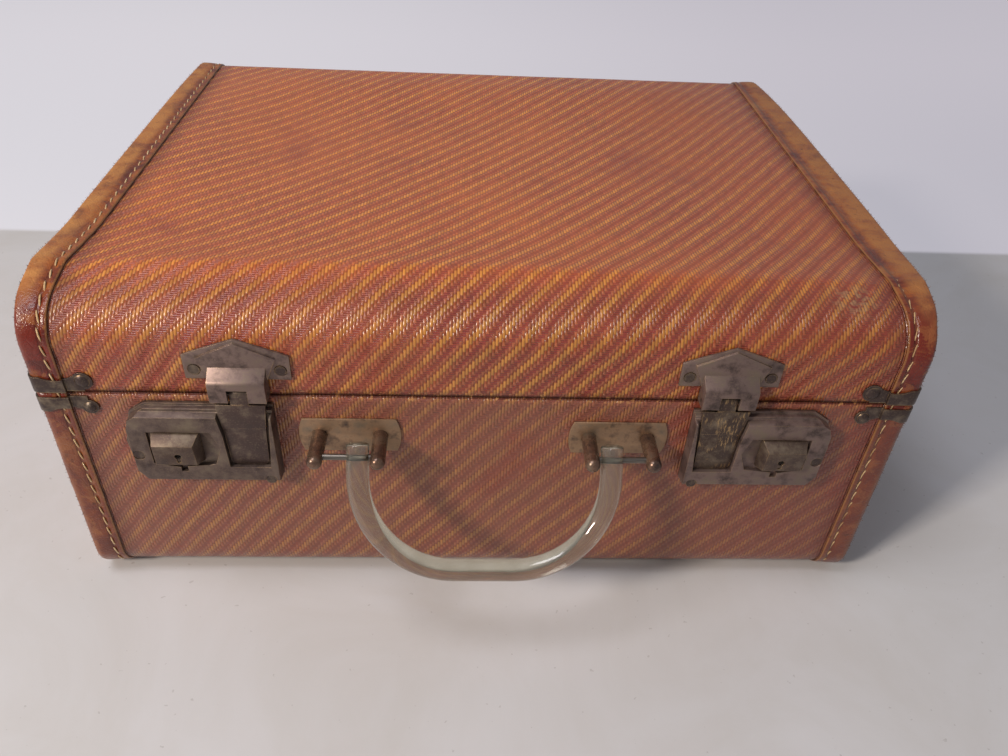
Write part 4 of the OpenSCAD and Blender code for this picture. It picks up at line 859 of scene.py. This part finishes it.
def end_cloth(name, radius, edge_z, lid, side, material):
    """The cloth on one end, in rings that shrink towards the middle of the seam, and crowned."""
    path = outline(LEATHER_T, radius, edge_z, lid, x=side * HALF_W)
    count, rings = len(path), 12
    # Far along the map from the front, so that the front's wear stays off the ends
    away = 0.62
    vertices, maps, faces = [], [], []
    for inner in (0.0, CLOTH_T):
        for i in range(rings):
            k = 1 - i / rings
            for (y, z), _, _ in path:
                y2, z2 = k * y, edge_z + k * (z - edge_z)
                vertices.append((side * (CLOTH_X - inner + bulge(y2, z2, side)), y2, z2))
                maps.append((side * y2 + away, z2 - SEAM))
        vertices.append((side * (CLOTH_X - inner + bulge(0.0, edge_z, side)), 0.0, edge_z))
        maps.append((away, edge_z - SEAM))
    layer = count * rings + 1
    for base in (0, layer):
        for i in range(rings - 1):
            for j in range(count - 1):
                a = base + i * count + j
                faces.append((a, a + 1, a + count + 1, a + count))
        last = base + (rings - 1) * count
        faces += [(last + j, last + j + 1, base + layer - 1) for j in range(count - 1)]
    rim = list(range(count)) + [i * count + count - 1 for i in range(1, rings)] + [layer - 1]
    rim += [i * count for i in range(rings - 1, 0, -1)]
    close_rim(faces, rim, layer)
    made = new_object(name, vertices, faces, material)
    give_map(made, maps)
    face_outwards(made)
    made.data.set_sharp_from_angle(angle=math.radians(40))
    return made


def corner_radius(nz, lid):
    """Radius of the leather's outer corner: full where the clips sit, sharper on top."""
    return BIND_ROUND - 2.1 * MM * (abs(nz) ** 1.5 if lid else 0.4 * abs(nz))


def leather_profile(r):
    """The leather's section at one end, with the outer corner's radius r: pairs of the distance
    from the outer end and the depth under the surface."""
    stitched = settings()[1].stitch_in
    # The cut edge, the stitched channel, and the flat part as far as the corner
    points = [(BIND_W, 1.0 * MM), (BIND_W - 0.2 * MM, 0.65 * MM), (BIND_W - 0.7 * MM, 0.5 * MM)]
    points += [(BIND_W - stitched + off * MM, depth * MM) for off, depth in (
        (2.0, 0.45), (1.3, 0.5), (0.6, 0.72), (0.0, 0.8), (-0.6, 0.7), (-1.3, 0.42), (-2.6, 0.2))]
    points += [(5.6 * MM, 0.08 * MM), (4.4 * MM, 0.0)]
    # The rounded corner, the part on the end, and back along the inner side
    for i in range(9):
        a = math.pi / 2 * i / 8
        points.append((r - r * math.sin(a), r - r * math.cos(a)))
    points += [(0.0, r + (11.4 * MM - r) * i / 5) for i in range(1, 6)]
    points += [(0.05 * MM, BIND_END_W - 0.15 * MM), (0.3 * MM, BIND_END_W), (LEATHER_T, BIND_END_W)]
    points += [(LEATHER_T, 7 * MM), (LEATHER_T, LEATHER_T), (8 * MM, LEATHER_T),
               (BIND_W, LEATHER_T)]
    return points


def leather_strip(name, radius, edge_z, lid, side, material):
    """The leather round one end of a half, with an uneven cut edge and a slightly soft surface."""
    path = outline(0.0, radius, edge_z, lid, 1.9 * MM, side * HALF_W)
    skin = settings()[1]
    vertices, faces = [], []
    for (y, z), (ny, nz), s in path:
        profile = leather_profile(corner_radius(nz, lid))
        out = bulge(y, z, side)
        for a, b in profile:
            x = HALF_W - a + out * (1 - a / BIND_W) ** 0.7
            rough = noise.noise(Vector((side * x * 90, y * 90, z * 90)))
            # The cut edges waver, and each stitch pulls the leather in
            cut = 0.35 * MM * noise.noise(Vector((side * 7.0, s * 130, 3.0)))
            if a > BIND_W - MM:
                x -= cut
            if b < 0.9 * MM and a > BIND_ROUND:
                near = max(0.0, 1 - abs(a - (BIND_W - skin.stitch_in)) / (2.2 * MM))
                b += 0.09 * MM * rough + 0.14 * MM * near * math.cos(2 * math.pi * s / skin.pitch)
            elif b > BIND_END_W - MM:
                b += cut
            vertices.append((side * x, y - b * ny, z - b * nz))
    n = len(profile)
    for j in range(len(path) - 1):
        for i in range(n):
            k = (i + 1) % n
            faces.append((j * n + i, j * n + k, (j + 1) * n + k, (j + 1) * n + i))
    faces.append(tuple(range(n)))
    faces.append(tuple((len(path) - 1) * n + i for i in range(n - 1, -1, -1)))
    made = new_object(name, vertices, faces, material)
    face_outwards(made)
    return made


def softened(node, width, material, miter="MITER_ARC"):
    """A copy of a pressed or turned node with merged faces and rounded edges."""
    work = bmesh.new()
    work.from_mesh(frame["nodes"][node].data)
    bmesh.ops.remove_doubles(work, verts=work.verts, dist=2e-6)
    bmesh.ops.dissolve_limit(work, angle_limit=math.radians(0.6), verts=work.verts,
                             edges=work.edges)
    mesh = bpy.data.meshes.new(node + "_raw")
    work.to_mesh(mesh)
    work.free()
    raw = linked(node + "_raw", mesh)
    bevel = raw.modifiers.new("edge", "BEVEL")
    bevel.width = width
    bevel.segments = 2
    bevel.limit_method = "ANGLE"
    bevel.angle_limit = math.radians(32)
    bevel.use_clamp_overlap = True
    bevel.miter_outer = miter
    made = plain_mesh(raw, node + "_finished")
    made.data.materials.clear()
    made.data.materials.append(material)
    made.data.polygons.foreach_set("use_smooth", [True] * len(made.data.polygons))
    made.data.set_sharp_from_angle(angle=math.radians(38))
    return made


def sunk_panel(node, material):
    """A copy of one of the lid's inner layers whose top has sunk with the cloth."""
    across_by, deep_by, count = 0.0155, 0.012, 12
    work = bmesh.new()
    work.from_mesh(frame["nodes"][node].data)
    cuts = [((i * across_by, 0, 0), (1, 0, 0)) for i in range(-count, count + 1)]
    cuts += [((0, i * deep_by, 0), (0, 1, 0)) for i in range(-count, count + 1)]
    for place, direction in cuts:
        bmesh.ops.bisect_plane(work, geom=work.verts[:] + work.edges[:] + work.faces[:],
                               plane_co=place, plane_no=direction)
    for vertex in work.verts:
        if vertex.co.z > CASE_H - 9 * MM:
            vertex.co.z += sag(vertex.co.x, vertex.co.y)
    mesh = bpy.data.meshes.new(node + "_sunk")
    work.to_mesh(mesh)
    work.free()
    mesh.materials.clear()
    mesh.materials.append(material)
    return linked(node + "_sunk", mesh)


def swept_rod(name, points, radius, material):
    """A round rod along points in one plane, with slightly rounded ends."""
    sides, soft = 48, 0.7 * MM
    across = (points[1] - points[0]).cross(points[len(points) // 2] - points[0]).normalized()
    rings = []
    for i, p in enumerate(points):
        ahead = points[min(i + 1, len(points) - 1)] - points[max(i - 1, 0)]
        rings.append((p, ahead.normalized(), radius))
    (start, inward, _), (end, outward, _) = rings[0], rings[-1]
    rings = [(start, inward, radius - soft),
             (start + inward * soft * 0.3, inward, radius - soft * 0.3),
             (start + inward * soft, inward, radius),
             *rings[1:-1],
             (end - outward * soft, outward, radius),
             (end - outward * soft * 0.3, outward, radius - soft * 0.3),
             (end, outward, radius - soft)]
    vertices, faces = [], []
    for p, ahead, r in rings:
        up = across.cross(ahead).normalized()
        for k in range(sides):
            a = 2 * math.pi * k / sides
            vertices.append(p + across * (r * math.cos(a)) + up * (r * math.sin(a)))
    for j in range(len(rings) - 1):
        for k in range(sides):
            m = (k + 1) % sides
            faces.append((j * sides + k, j * sides + m, (j + 1) * sides + m, (j + 1) * sides + k))
    faces.append(tuple(range(sides - 1, -1, -1)))
    faces.append(tuple((len(rings) - 1) * sides + k for k in range(sides)))
    made = new_object(name, vertices, faces, material)
    face_outwards(made)
    made.data.set_sharp_from_angle(angle=math.radians(50))
    return made


# Geometry node trees

def new_tree(name, **inputs):
    """A geometry node tree that takes a shape and the named inputs, and gives a shape."""
    tree = bpy.data.node_groups.new(name, "GeometryNodeTree")
    for label, kind in {"Geometry": "Geometry", **inputs}.items():
        tree.interface.new_socket(label, in_out="INPUT", socket_type="NodeSocket" + kind)
    tree.interface.new_socket("Geometry", in_out="OUTPUT", socket_type="NodeSocketGeometry")
    return tree, add(tree, "NodeGroupInput").outputs


def stitch_mesh(name, length, width, height):
    """One sewn stitch lying along X: round in the middle and diving at both ends."""
    rings, sides = 7, 6
    vertices, faces = [], []
    for i in range(rings):
        t = i / (rings - 1) * 2 - 1
        swell = max(0.25, math.sqrt(max(0.0, 1 - t ** 4)))
        lift = height * (1 - t * t) - 0.15 * height
        for k in range(sides):
            a = 2 * math.pi * k / sides
            vertices.append((t * length / 2, width / 2 * swell * math.cos(a),
                             lift + width / 2.6 * swell * math.sin(a)))
    for i in range(rings - 1):
        for k in range(sides):
            m = (k + 1) % sides
            faces.append((i * sides + k, (i + 1) * sides + k, (i + 1) * sides + m, i * sides + m))
    faces.append(tuple(range(sides)))
    faces.append(tuple((rings - 1) * sides + k for k in range(sides - 1, -1, -1)))
    made = bare_object(name, vertices, faces)
    made.data.polygons.foreach_set("use_smooth", [True] * len(faces))
    return made


def row_tree(name):
    """Copies a small piece along curves that lie in planes across X, with the piece's X along
    the curve and its Z outwards, tilted and jittered a little."""
    tree, given = new_tree(name, Piece="Object", Pitch="Float", Slant="Float", Jitter="Float",
                           Seed="Int", Finish="Material")
    spaced = add(tree, "GeometryNodeResampleCurve",
                 {"Curve": given["Geometry"], "Length": given["Pitch"]}, mode="LENGTH")
    along = add(tree, "GeometryNodeInputTangent")
    turn = add(tree, "FunctionNodeAlignRotationToVector", {"Vector": along}, axis="X")
    turn = add(tree, "FunctionNodeAlignRotationToVector",
               {"Rotation": turn, "Vector": (1.0, 0.0, 0.0)}, axis="Y", pivot_axis="X")
    piece = add(tree, "GeometryNodeObjectInfo", {"Object": given["Piece"]}).outputs["Geometry"]
    lean = add(tree, "FunctionNodeRandomValue", {"Min": -1.0, "Max": 1.0, "Seed": given["Seed"]},
               data_type="FLOAT")
    lean_by = add(tree, "ShaderNodeMath", (lean, given["Jitter"], given["Slant"]),
                  operation="MULTIPLY_ADD")
    angles = add(tree, "ShaderNodeCombineXYZ", {"Z": lean_by})
    to_turn = add(tree, "FunctionNodeEulerToRotation", (angles,))
    turned = add(tree, "FunctionNodeRotateRotation", {"Rotation": turn, "Rotate By": to_turn},
                 rotation_space="LOCAL")
    copies = add(tree, "GeometryNodeInstanceOnPoints",
                 {"Points": spaced, "Instance": piece, "Rotation": turned})
    real = add(tree, "GeometryNodeRealizeInstances", (copies,))
    done = add(tree, "GeometryNodeSetMaterial", {"Geometry": real, "Material": given["Finish"]})
    add(tree, "NodeGroupOutput", (done,))
    return tree


def fuzz_tree(name):
    """Scatters a thin fibre over a surface, each copy bent over and scaled by chance."""
    tree, given = new_tree(name, Piece="Object", Density="Float", Lean="Float", Seed="Int",
                           Finish="Material")
    spots = add(tree, "GeometryNodeDistributePointsOnFaces",
                {"Mesh": given["Geometry"], "Density": given["Density"], "Seed": given["Seed"]})
    piece = add(tree, "GeometryNodeObjectInfo", {"Object": given["Piece"]}).outputs["Geometry"]
    chance = add(tree, "FunctionNodeRandomValue",
                 {"Min": (-1.0, -1.0, -3.1), "Max": (1.0, 1.0, 3.1), "Seed": given["Seed"]},
                 data_type="FLOAT_VECTOR")
    lean = add(tree, "ShaderNodeVectorMath", (chance, given["Lean"]), operation="MULTIPLY")
    to_turn = add(tree, "FunctionNodeEulerToRotation", (lean,))
    turned = add(tree, "FunctionNodeRotateRotation",
                 {"Rotation": spots.outputs["Rotation"], "Rotate By": to_turn},
                 rotation_space="LOCAL")
    size = add(tree, "FunctionNodeRandomValue", {2: 0.35, 3: 1.0, "Seed": given["Seed"]},
               data_type="FLOAT")
    copies = add(tree, "GeometryNodeInstanceOnPoints",
                 {"Points": spots, "Instance": piece, "Rotation": turned, "Scale": size})
    real = add(tree, "GeometryNodeRealizeInstances", (copies,))
    done = add(tree, "GeometryNodeSetMaterial", {"Geometry": real, "Material": given["Finish"]})
    add(tree, "NodeGroupOutput", (done,))
    return tree


def fibre_mesh(name, length, width):
    """One loose fibre standing up along Z, bent over and pointed."""
    vertices, faces = [], []
    for i in range(3):
        t = i / 3
        for k in range(3):
            a = 2 * math.pi * k / 3
            w = width / 2 * (1 - 0.5 * t)
            vertices.append((w * math.cos(a) + 0.35 * length * t * t, w * math.sin(a),
                             length * (t - 0.05)))
    vertices.append((0.35 * length, 0.0, 0.9 * length))
    for i in range(2):
        for k in range(3):
            m = (k + 1) % 3
            faces.append((i * 3 + k, i * 3 + m, i * 3 + 3 + m, i * 3 + 3 + k))
    faces += [(6, 7, 9), (7, 8, 9), (8, 6, 9), (2, 1, 0)]
    return bare_object(name, vertices, faces)


def corner_ribbon(name, path, lid, side):
    """A narrow strip of faces along the leather's outer corner, facing outwards."""
    vertices = []
    for (y, z), (ny, nz), _ in path:
        cut = corner_radius(nz, lid) * (1 - math.sqrt(0.5))
        for off in (1, -1) if (side > 0) != lid else (-1, 1):
            x = HALF_W + bulge(y, z, side) - cut + off * 0.3 * MM
            b = cut + off * 0.3 * MM
            vertices.append((side * x, y - b * ny, z - b * nz))
    faces = [(2 * j, 2 * j + 1, 2 * j + 3, 2 * j + 2) for j in range(len(path) - 1)]
    return bare_object(name, vertices, faces)


def run_tree(carrier, tree, name, **inputs):
    """Runs a tree on an object, with its inputs set by identifier, and keeps the plain mesh."""
    modifier = carrier.modifiers.new("rows", "NODES")
    modifier.node_group = tree
    sockets = {s.name: s.identifier for s in tree.interface.items_tree if s.in_out == "INPUT"}
    for label, value in inputs.items():
        modifier[sockets[label]] = value
    carrier.update_tag()
    bpy.context.view_layer.update()
    return plain_mesh(carrier, name)


def curve_object(name, lines):
    """A curve object with one straight-pieced line for each list of points."""
    curve = bpy.data.curves.new(name, "CURVE")
    curve.dimensions = "3D"
    for points in lines:
        spline = curve.splines.new("POLY")
        spline.points.add(len(points) - 1)
        for cell, p in zip(spline.points, points):
            cell.co = (*p, 1.0)
    return linked(name, curve)


# Operators

def photo_camera():
    """A camera with the photograph's perspective."""
    ahead = Vector((math.sin(VIEW_TURN) * math.cos(VIEW_DOWN),
                    math.cos(VIEW_TURN) * math.cos(VIEW_DOWN), -math.sin(VIEW_DOWN)))
    level = Vector((math.cos(VIEW_TURN), -math.sin(VIEW_TURN), 0.0))
    upright = level.cross(ahead)
    right = level * math.cos(VIEW_LEAN) + upright * math.sin(VIEW_LEAN)
    up = upright * math.cos(VIEW_LEAN) - level * math.sin(VIEW_LEAN)
    data = bpy.data.cameras.new("view")
    data.lens = FOCAL_PX * SENSOR_MM / PICTURE_PX
    data.sensor_width = SENSOR_MM
    data.clip_start = 0.01
    camera = linked("view", data)
    turned = Matrix((right, up, -ahead)).transposed().to_4x4()
    camera.matrix_world = Matrix.Translation(VIEW_FROM) @ turned
    return camera


def joint_called(name):
    """The record of one of the case's joints."""
    return next(j for j in frame["record"]["behaviour"]["joints"] if j["name"] == name)


class CASE_OT_stage(bpy.types.Operator):
    """Makes the table, the lights and the camera"""
    bl_idname = "travel_case.stage"
    bl_label = "Stage"

    def execute(self, context):
        stage = settings()[3]
        scene = context.scene
        bpy.ops.mesh.primitive_plane_add(size=8)
        floor = context.object
        floor.name = "table_top"
        # A hair under the case's bottom, so that the two don't share a plane
        floor.location.z = -0.2 * MM
        floor.data.materials.append(painted_table("Painted table and backdrop"))
        # Both lamps point at the upper front of the case: name, place, size, power, colour
        target = Vector((0, -0.1, 0.1))
        lamps = [("key_light", (-1.3, -1.09, 1.13), 0.26, stage.key, "#fff3e4"),
                 ("soft_light", (-0.52, -0.4, 1.52), 0.6, stage.fill, "#f4f3fa")]
        for name, place, size, power, colour in lamps:
            lamp = bpy.data.lights.new(name, "AREA")
            lamp.size = size
            lamp.energy = power
            lamp.color = linear(colour)[:3]
            holder = linked(name, lamp)
            holder.location = place
            holder.rotation_euler = (target - Vector(place)).to_track_quat("-Z", "Y").to_euler()
        scene.world = room_light(stage.room)
        scene.view_settings.view_transform = "Standard"
        scene.camera = photo_camera()
        return {"FINISHED"}


class CASE_OT_cloth(bpy.types.Operator):
    """Covers both halves with tweed"""
    bl_idname = "travel_case.cloth"
    bl_label = "Cloth"

    def execute(self, context):
        for half, radius, edge, lid in HALVES:
            weave = tweed("Varnished tweed, " + half, lid)
            wrap = cloth_wrap(half + "_cloth", radius, edge, lid, weave)
            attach(wrap, half)
            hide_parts(half + "_cover")
            for name, side in SIDES:
                end = end_cloth(f"{half}_end_cloth_{name}", radius, edge, lid, side, weave)
                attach(end, half)
                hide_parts(f"{half}_end_cover_{name}")
        return {"FINISHED"}


class CASE_OT_leather(bpy.types.Operator):
    """Binds the ends with leather"""
    bl_idname = "travel_case.leather"
    bl_label = "Leather ends"

    def execute(self, context):
        skin = bridle_leather("Bridle leather, varnished and worn")
        for half, radius, edge, lid in HALVES:
            for name, side in SIDES:
                strip = leather_strip(f"{half}_leather_{name}", radius, edge, lid, side, skin)
                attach(strip, half)
                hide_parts(f"{half}_binding_{name}")
        return {"FINISHED"}


class CASE_OT_stitches(bpy.types.Operator):
    """Sews the leather along its inner edge"""
    bl_idname = "travel_case.stitches"
    bl_label = "Stitches"

    def execute(self, context):
        skin = settings()[1]
        thread = waxed_thread("Waxed linen thread")
        tree = row_tree("Row of stitches")
        x = HALF_W - BIND_W + skin.stitch_in
        for half, radius, edge, lid in HALVES:
            one = stitch_mesh(half + "_one_stitch", skin.stitch, 0.95 * MM, 0.35 * MM)
            lines = []
            for _, side in SIDES:
                path = outline(0.75 * MM, radius, edge, lid, 2 * MM, side * HALF_W)
                # The way a row runs decides which way its stitches slant
                if (side > 0) != lid:
                    path.reverse()
                lines.append([(side * x, y, z) for (y, z), _, _ in path])
            row = curve_object(half + "_stitch_line", lines)
            sewn = run_tree(row, tree, half + "_stitches", Piece=one, Pitch=skin.pitch, Slant=0.2,
                            Jitter=0.06, Seed=5, Finish=thread)
            bpy.data.objects.remove(one)
            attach(sewn, half)
        return {"FINISHED"}


class CASE_OT_fibres(bpy.types.Operator):
    """Frays the leather's outer corners and the tray's cloth at the seam"""
    bl_idname = "travel_case.fibres"
    bl_label = "Loose fibres"

    def execute(self, context):
        seed = settings()[3].fibres
        hide = loose_fibre("Loose leather fibres", "#8a5526", "#5a2b17")
        straw = loose_fibre("Loose cloth fibres", "#c98f4f", "#8a4a30")
        tree = fuzz_tree("Scattered fibres")
        for half, radius, edge, lid in HALVES:
            hair = fibre_mesh(half + "_one_fibre", 1.25 * MM, 0.22 * MM)
            for name, side in SIDES:
                path = outline(0.0, radius, edge, lid, x=side * HALF_W)
                base = corner_ribbon(f"{half}_edge_{name}", path, lid, side)
                fuzz = run_tree(base, tree, f"{half}_fuzz_{name}", Piece=hair, Density=0.9e6,
                                Lean=0.9, Seed=seed, Finish=hide)
                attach(fuzz, half)
            bpy.data.objects.remove(hair)
        # The turned cloth edge under the seam, front only
        x, y, top = HALF_W - BIND_W - 8 * MM, -CLOTH_Y, TRAY_TOP - 0.35 * MM
        foot = top - 0.5 * MM
        base = bare_object("seam_edge", [(-x, y, foot), (x, y, foot), (x, y, top), (-x, y, top)],
                           [(0, 1, 2, 3)])
        hair = fibre_mesh("one_straw", 0.9 * MM, 0.2 * MM)
        fray = run_tree(base, tree, "seam_fray", Piece=hair, Density=1.1e6, Lean=1.1, Seed=seed + 1,
                        Finish=straw)
        bpy.data.objects.remove(hair)
        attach(fray, "tray")
        return {"FINISHED"}


class CASE_OT_fittings(bpy.types.Operator):
    """Finishes locks, keepers, hasps, clips, hinges and rivets"""
    bl_idname = "travel_case.fittings"
    bl_label = "Fittings"

    def execute(self, context):
        metal = settings()[2]
        case = old_brass("Tarnished brass, pressed", metal.tarnish)
        rubbed = old_brass("Tarnished brass, rubbed", "#4c3d36", 0.4, 0.7, True)
        hasp = old_brass("Tarnished brass, handled", "#50403c", 0.36, 0.6)
        dark = old_brass("Dark brass, clips and rivets", metal.dark, 0.38, 0.45, seam=True)
        slide = old_brass("Tarnished brass, thumbed", "#5b4a41", 0.48, 0.7)
        posts = old_brass("Turned brass posts", "#755a4a", 0.26, 0.5)
        plates = old_brass("Thin brass plate, washed", metal.plate, 0.45, 0.4)
        steel = bare_steel("Drawn steel")
        paper = lining_paper("Lining paper")
        board = fibre_board("Fibre board")
        washed = old_brass("Tarnished brass, washed", "#7c6862")
        # Each node with its finish and the rounding of its edges in mm
        pairs = [("keeper", washed, 0.45), ("handle_plate", plates, 0.3),
                 ("handle_posts", posts, 0.3), ("release_slide", slide, 0.2)]
        jobs = [(f"{kind}_{name}", finish, width) for kind, finish, width in pairs
                for name, _ in SIDES]
        jobs += [("lock_case_left", case, 0.5), ("lock_case_right", washed, 0.5),
                 ("hasp_left", hasp, 0.4), ("hasp_right", rubbed, 0.4),
                 ("lid_corner_clips", dark, 0.25), ("tray_corner_clips", dark, 0.25),
                 ("hinge_leaves_tray", case, 0.25), ("hinge_leaves_lid", case, 0.25)]
        groups = frame["record"]["behaviour"]["bodies"]
        bodies = {node: body for body, group in groups.items() for node in group}
        slots = {p["node"]: p["material_slot"] for p in frame["record"]["subparts"]}
        for node, finish, width in jobs:
            # Curved corners would close the slot that the key cam's tongue swings through
            corner = "MITER_SHARP" if node.startswith("release_slide") else "MITER_ARC"
            piece = softened(node, width * MM, finish, miter=corner)
            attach(piece, bodies[node])
            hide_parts(node)
        for node, finish, slot in (("lid_board", board, "board"), ("lid_lining", paper, "lining")):
            piece = sunk_panel(node, finish)
            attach(piece, "lid")
            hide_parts(node)
        for side, inner in (("left", 1), ("right", -1)):
            node, joint = "return_spring_" + side, "slide_" + side + "_travel"
            piece = softened(node, 0.08 * MM, steel)
            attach(piece, "tray")
            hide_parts(node)
            # The spring's width and the slide's travel are read, and the spring gets a mesh of its
            # own
            low, high = span(node)
            width, travel = high.x - low.x, joint_called(joint)["range_m"][1]
            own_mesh(piece)
        # The nodes kept as they are get their material
        kept = {"steel": steel, "dark_brass": dark, "board": board, "lining": paper}
        remade = {node for node, _, _ in jobs}
        for node, slot in slots.items():
            if slot in kept and node not in remade:
                for cell in frame["nodes"][node].material_slots:
                    cell.material = kept[slot]
        return {"FINISHED"}


class CASE_OT_handle(bpy.types.Operator):
    """Bends the clear handle"""
    bl_idname = "travel_case.handle"
    bl_label = "Handle"

    def execute(self, context):
        high = span("handle_rod")[1]
        pivot = Vector(joint_called("handle_swing")["pos_m"])
        # Radius of the rod and of its bends, reach beyond the pins, and the ends before them
        radius, bend, reach, end = 5.3 * MM, 45 * MM, 54 * MM, 6.4 * MM
        leg = high.x - radius
        # At rest the handle hangs out from the front by this angle
        hang = math.radians(30)
        down = Vector((0.0, -math.sin(hang), -math.cos(hang)))
        # Half of the rod in its own plane: the leg, the bend, and the grip as far as its middle
        flat = [(leg, -end), (leg, -end / 2)]
        flat += [(leg, (reach - bend) * i / 6) for i in range(6)]
        for i in range(29):
            a = math.pi / 2 * i / 28
            flat.append((leg - bend + bend * math.cos(a), reach - bend + bend * math.sin(a)))
        flat += [((leg - bend) * (1 - i / 3), reach) for i in range(1, 3)]
        flat += [(0.0, reach)] + [(-x, d) for x, d in reversed(flat)]
        points = [Vector((x, pivot.y, pivot.z)) + down * d for x, d in flat]
        rod = swept_rod("handle_bar", points, radius, clear_acrylic("Acrylic rod"))
        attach(rod, "handle")
        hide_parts("handle_rod")
        return {"FINISHED"}


class CASE_PT_panel(bpy.types.Panel):
    """Lists the steps that dress the case"""
    bl_idname = "CASE_PT_panel"
    bl_label = "Travel case"
    bl_space_type = "VIEW_3D"
    bl_region_type = "UI"
    bl_category = "Travel case"

    def draw(self, context):
        for step_class in STEPS:
            self.layout.operator(step_class.bl_idname)


GROUPS = {"case_cloth": CaseCloth, "case_leather": CaseLeather, "case_metal": CaseMetal,
          "case_stage": CaseStage}
STEPS = [CASE_OT_stage, CASE_OT_cloth, CASE_OT_leather, CASE_OT_stitches, CASE_OT_fibres,
         CASE_OT_fittings, CASE_OT_handle]


def register():
    """Makes the settings, the steps and the panel known."""
    for group in GROUPS.values():
        bpy.utils.register_class(group)
    for name, group in GROUPS.items():
        setattr(bpy.types.Scene, name, PointerProperty(type=group))
    for step_class in STEPS:
        bpy.utils.register_class(step_class)
    bpy.utils.register_class(CASE_PT_panel)


def unregister():
    """Takes them away again, the last one first."""
    bpy.utils.unregister_class(CASE_PT_panel)
    for step_class in reversed(STEPS):
        bpy.utils.unregister_class(step_class)
    for name in GROUPS:
        delattr(bpy.types.Scene, name)
    for group in reversed(list(GROUPS.values())):
        bpy.utils.unregister_class(group)


def main():
    """Dresses the case step by step."""
    register()
    bpy.ops.travel_case.stage()
    bpy.ops.travel_case.cloth()
    bpy.ops.travel_case.leather()
    bpy.ops.travel_case.stitches()
    bpy.ops.travel_case.fibres()
    bpy.ops.travel_case.fittings()
    bpy.ops.travel_case.handle()


if __name__ == "__main__":
    main()
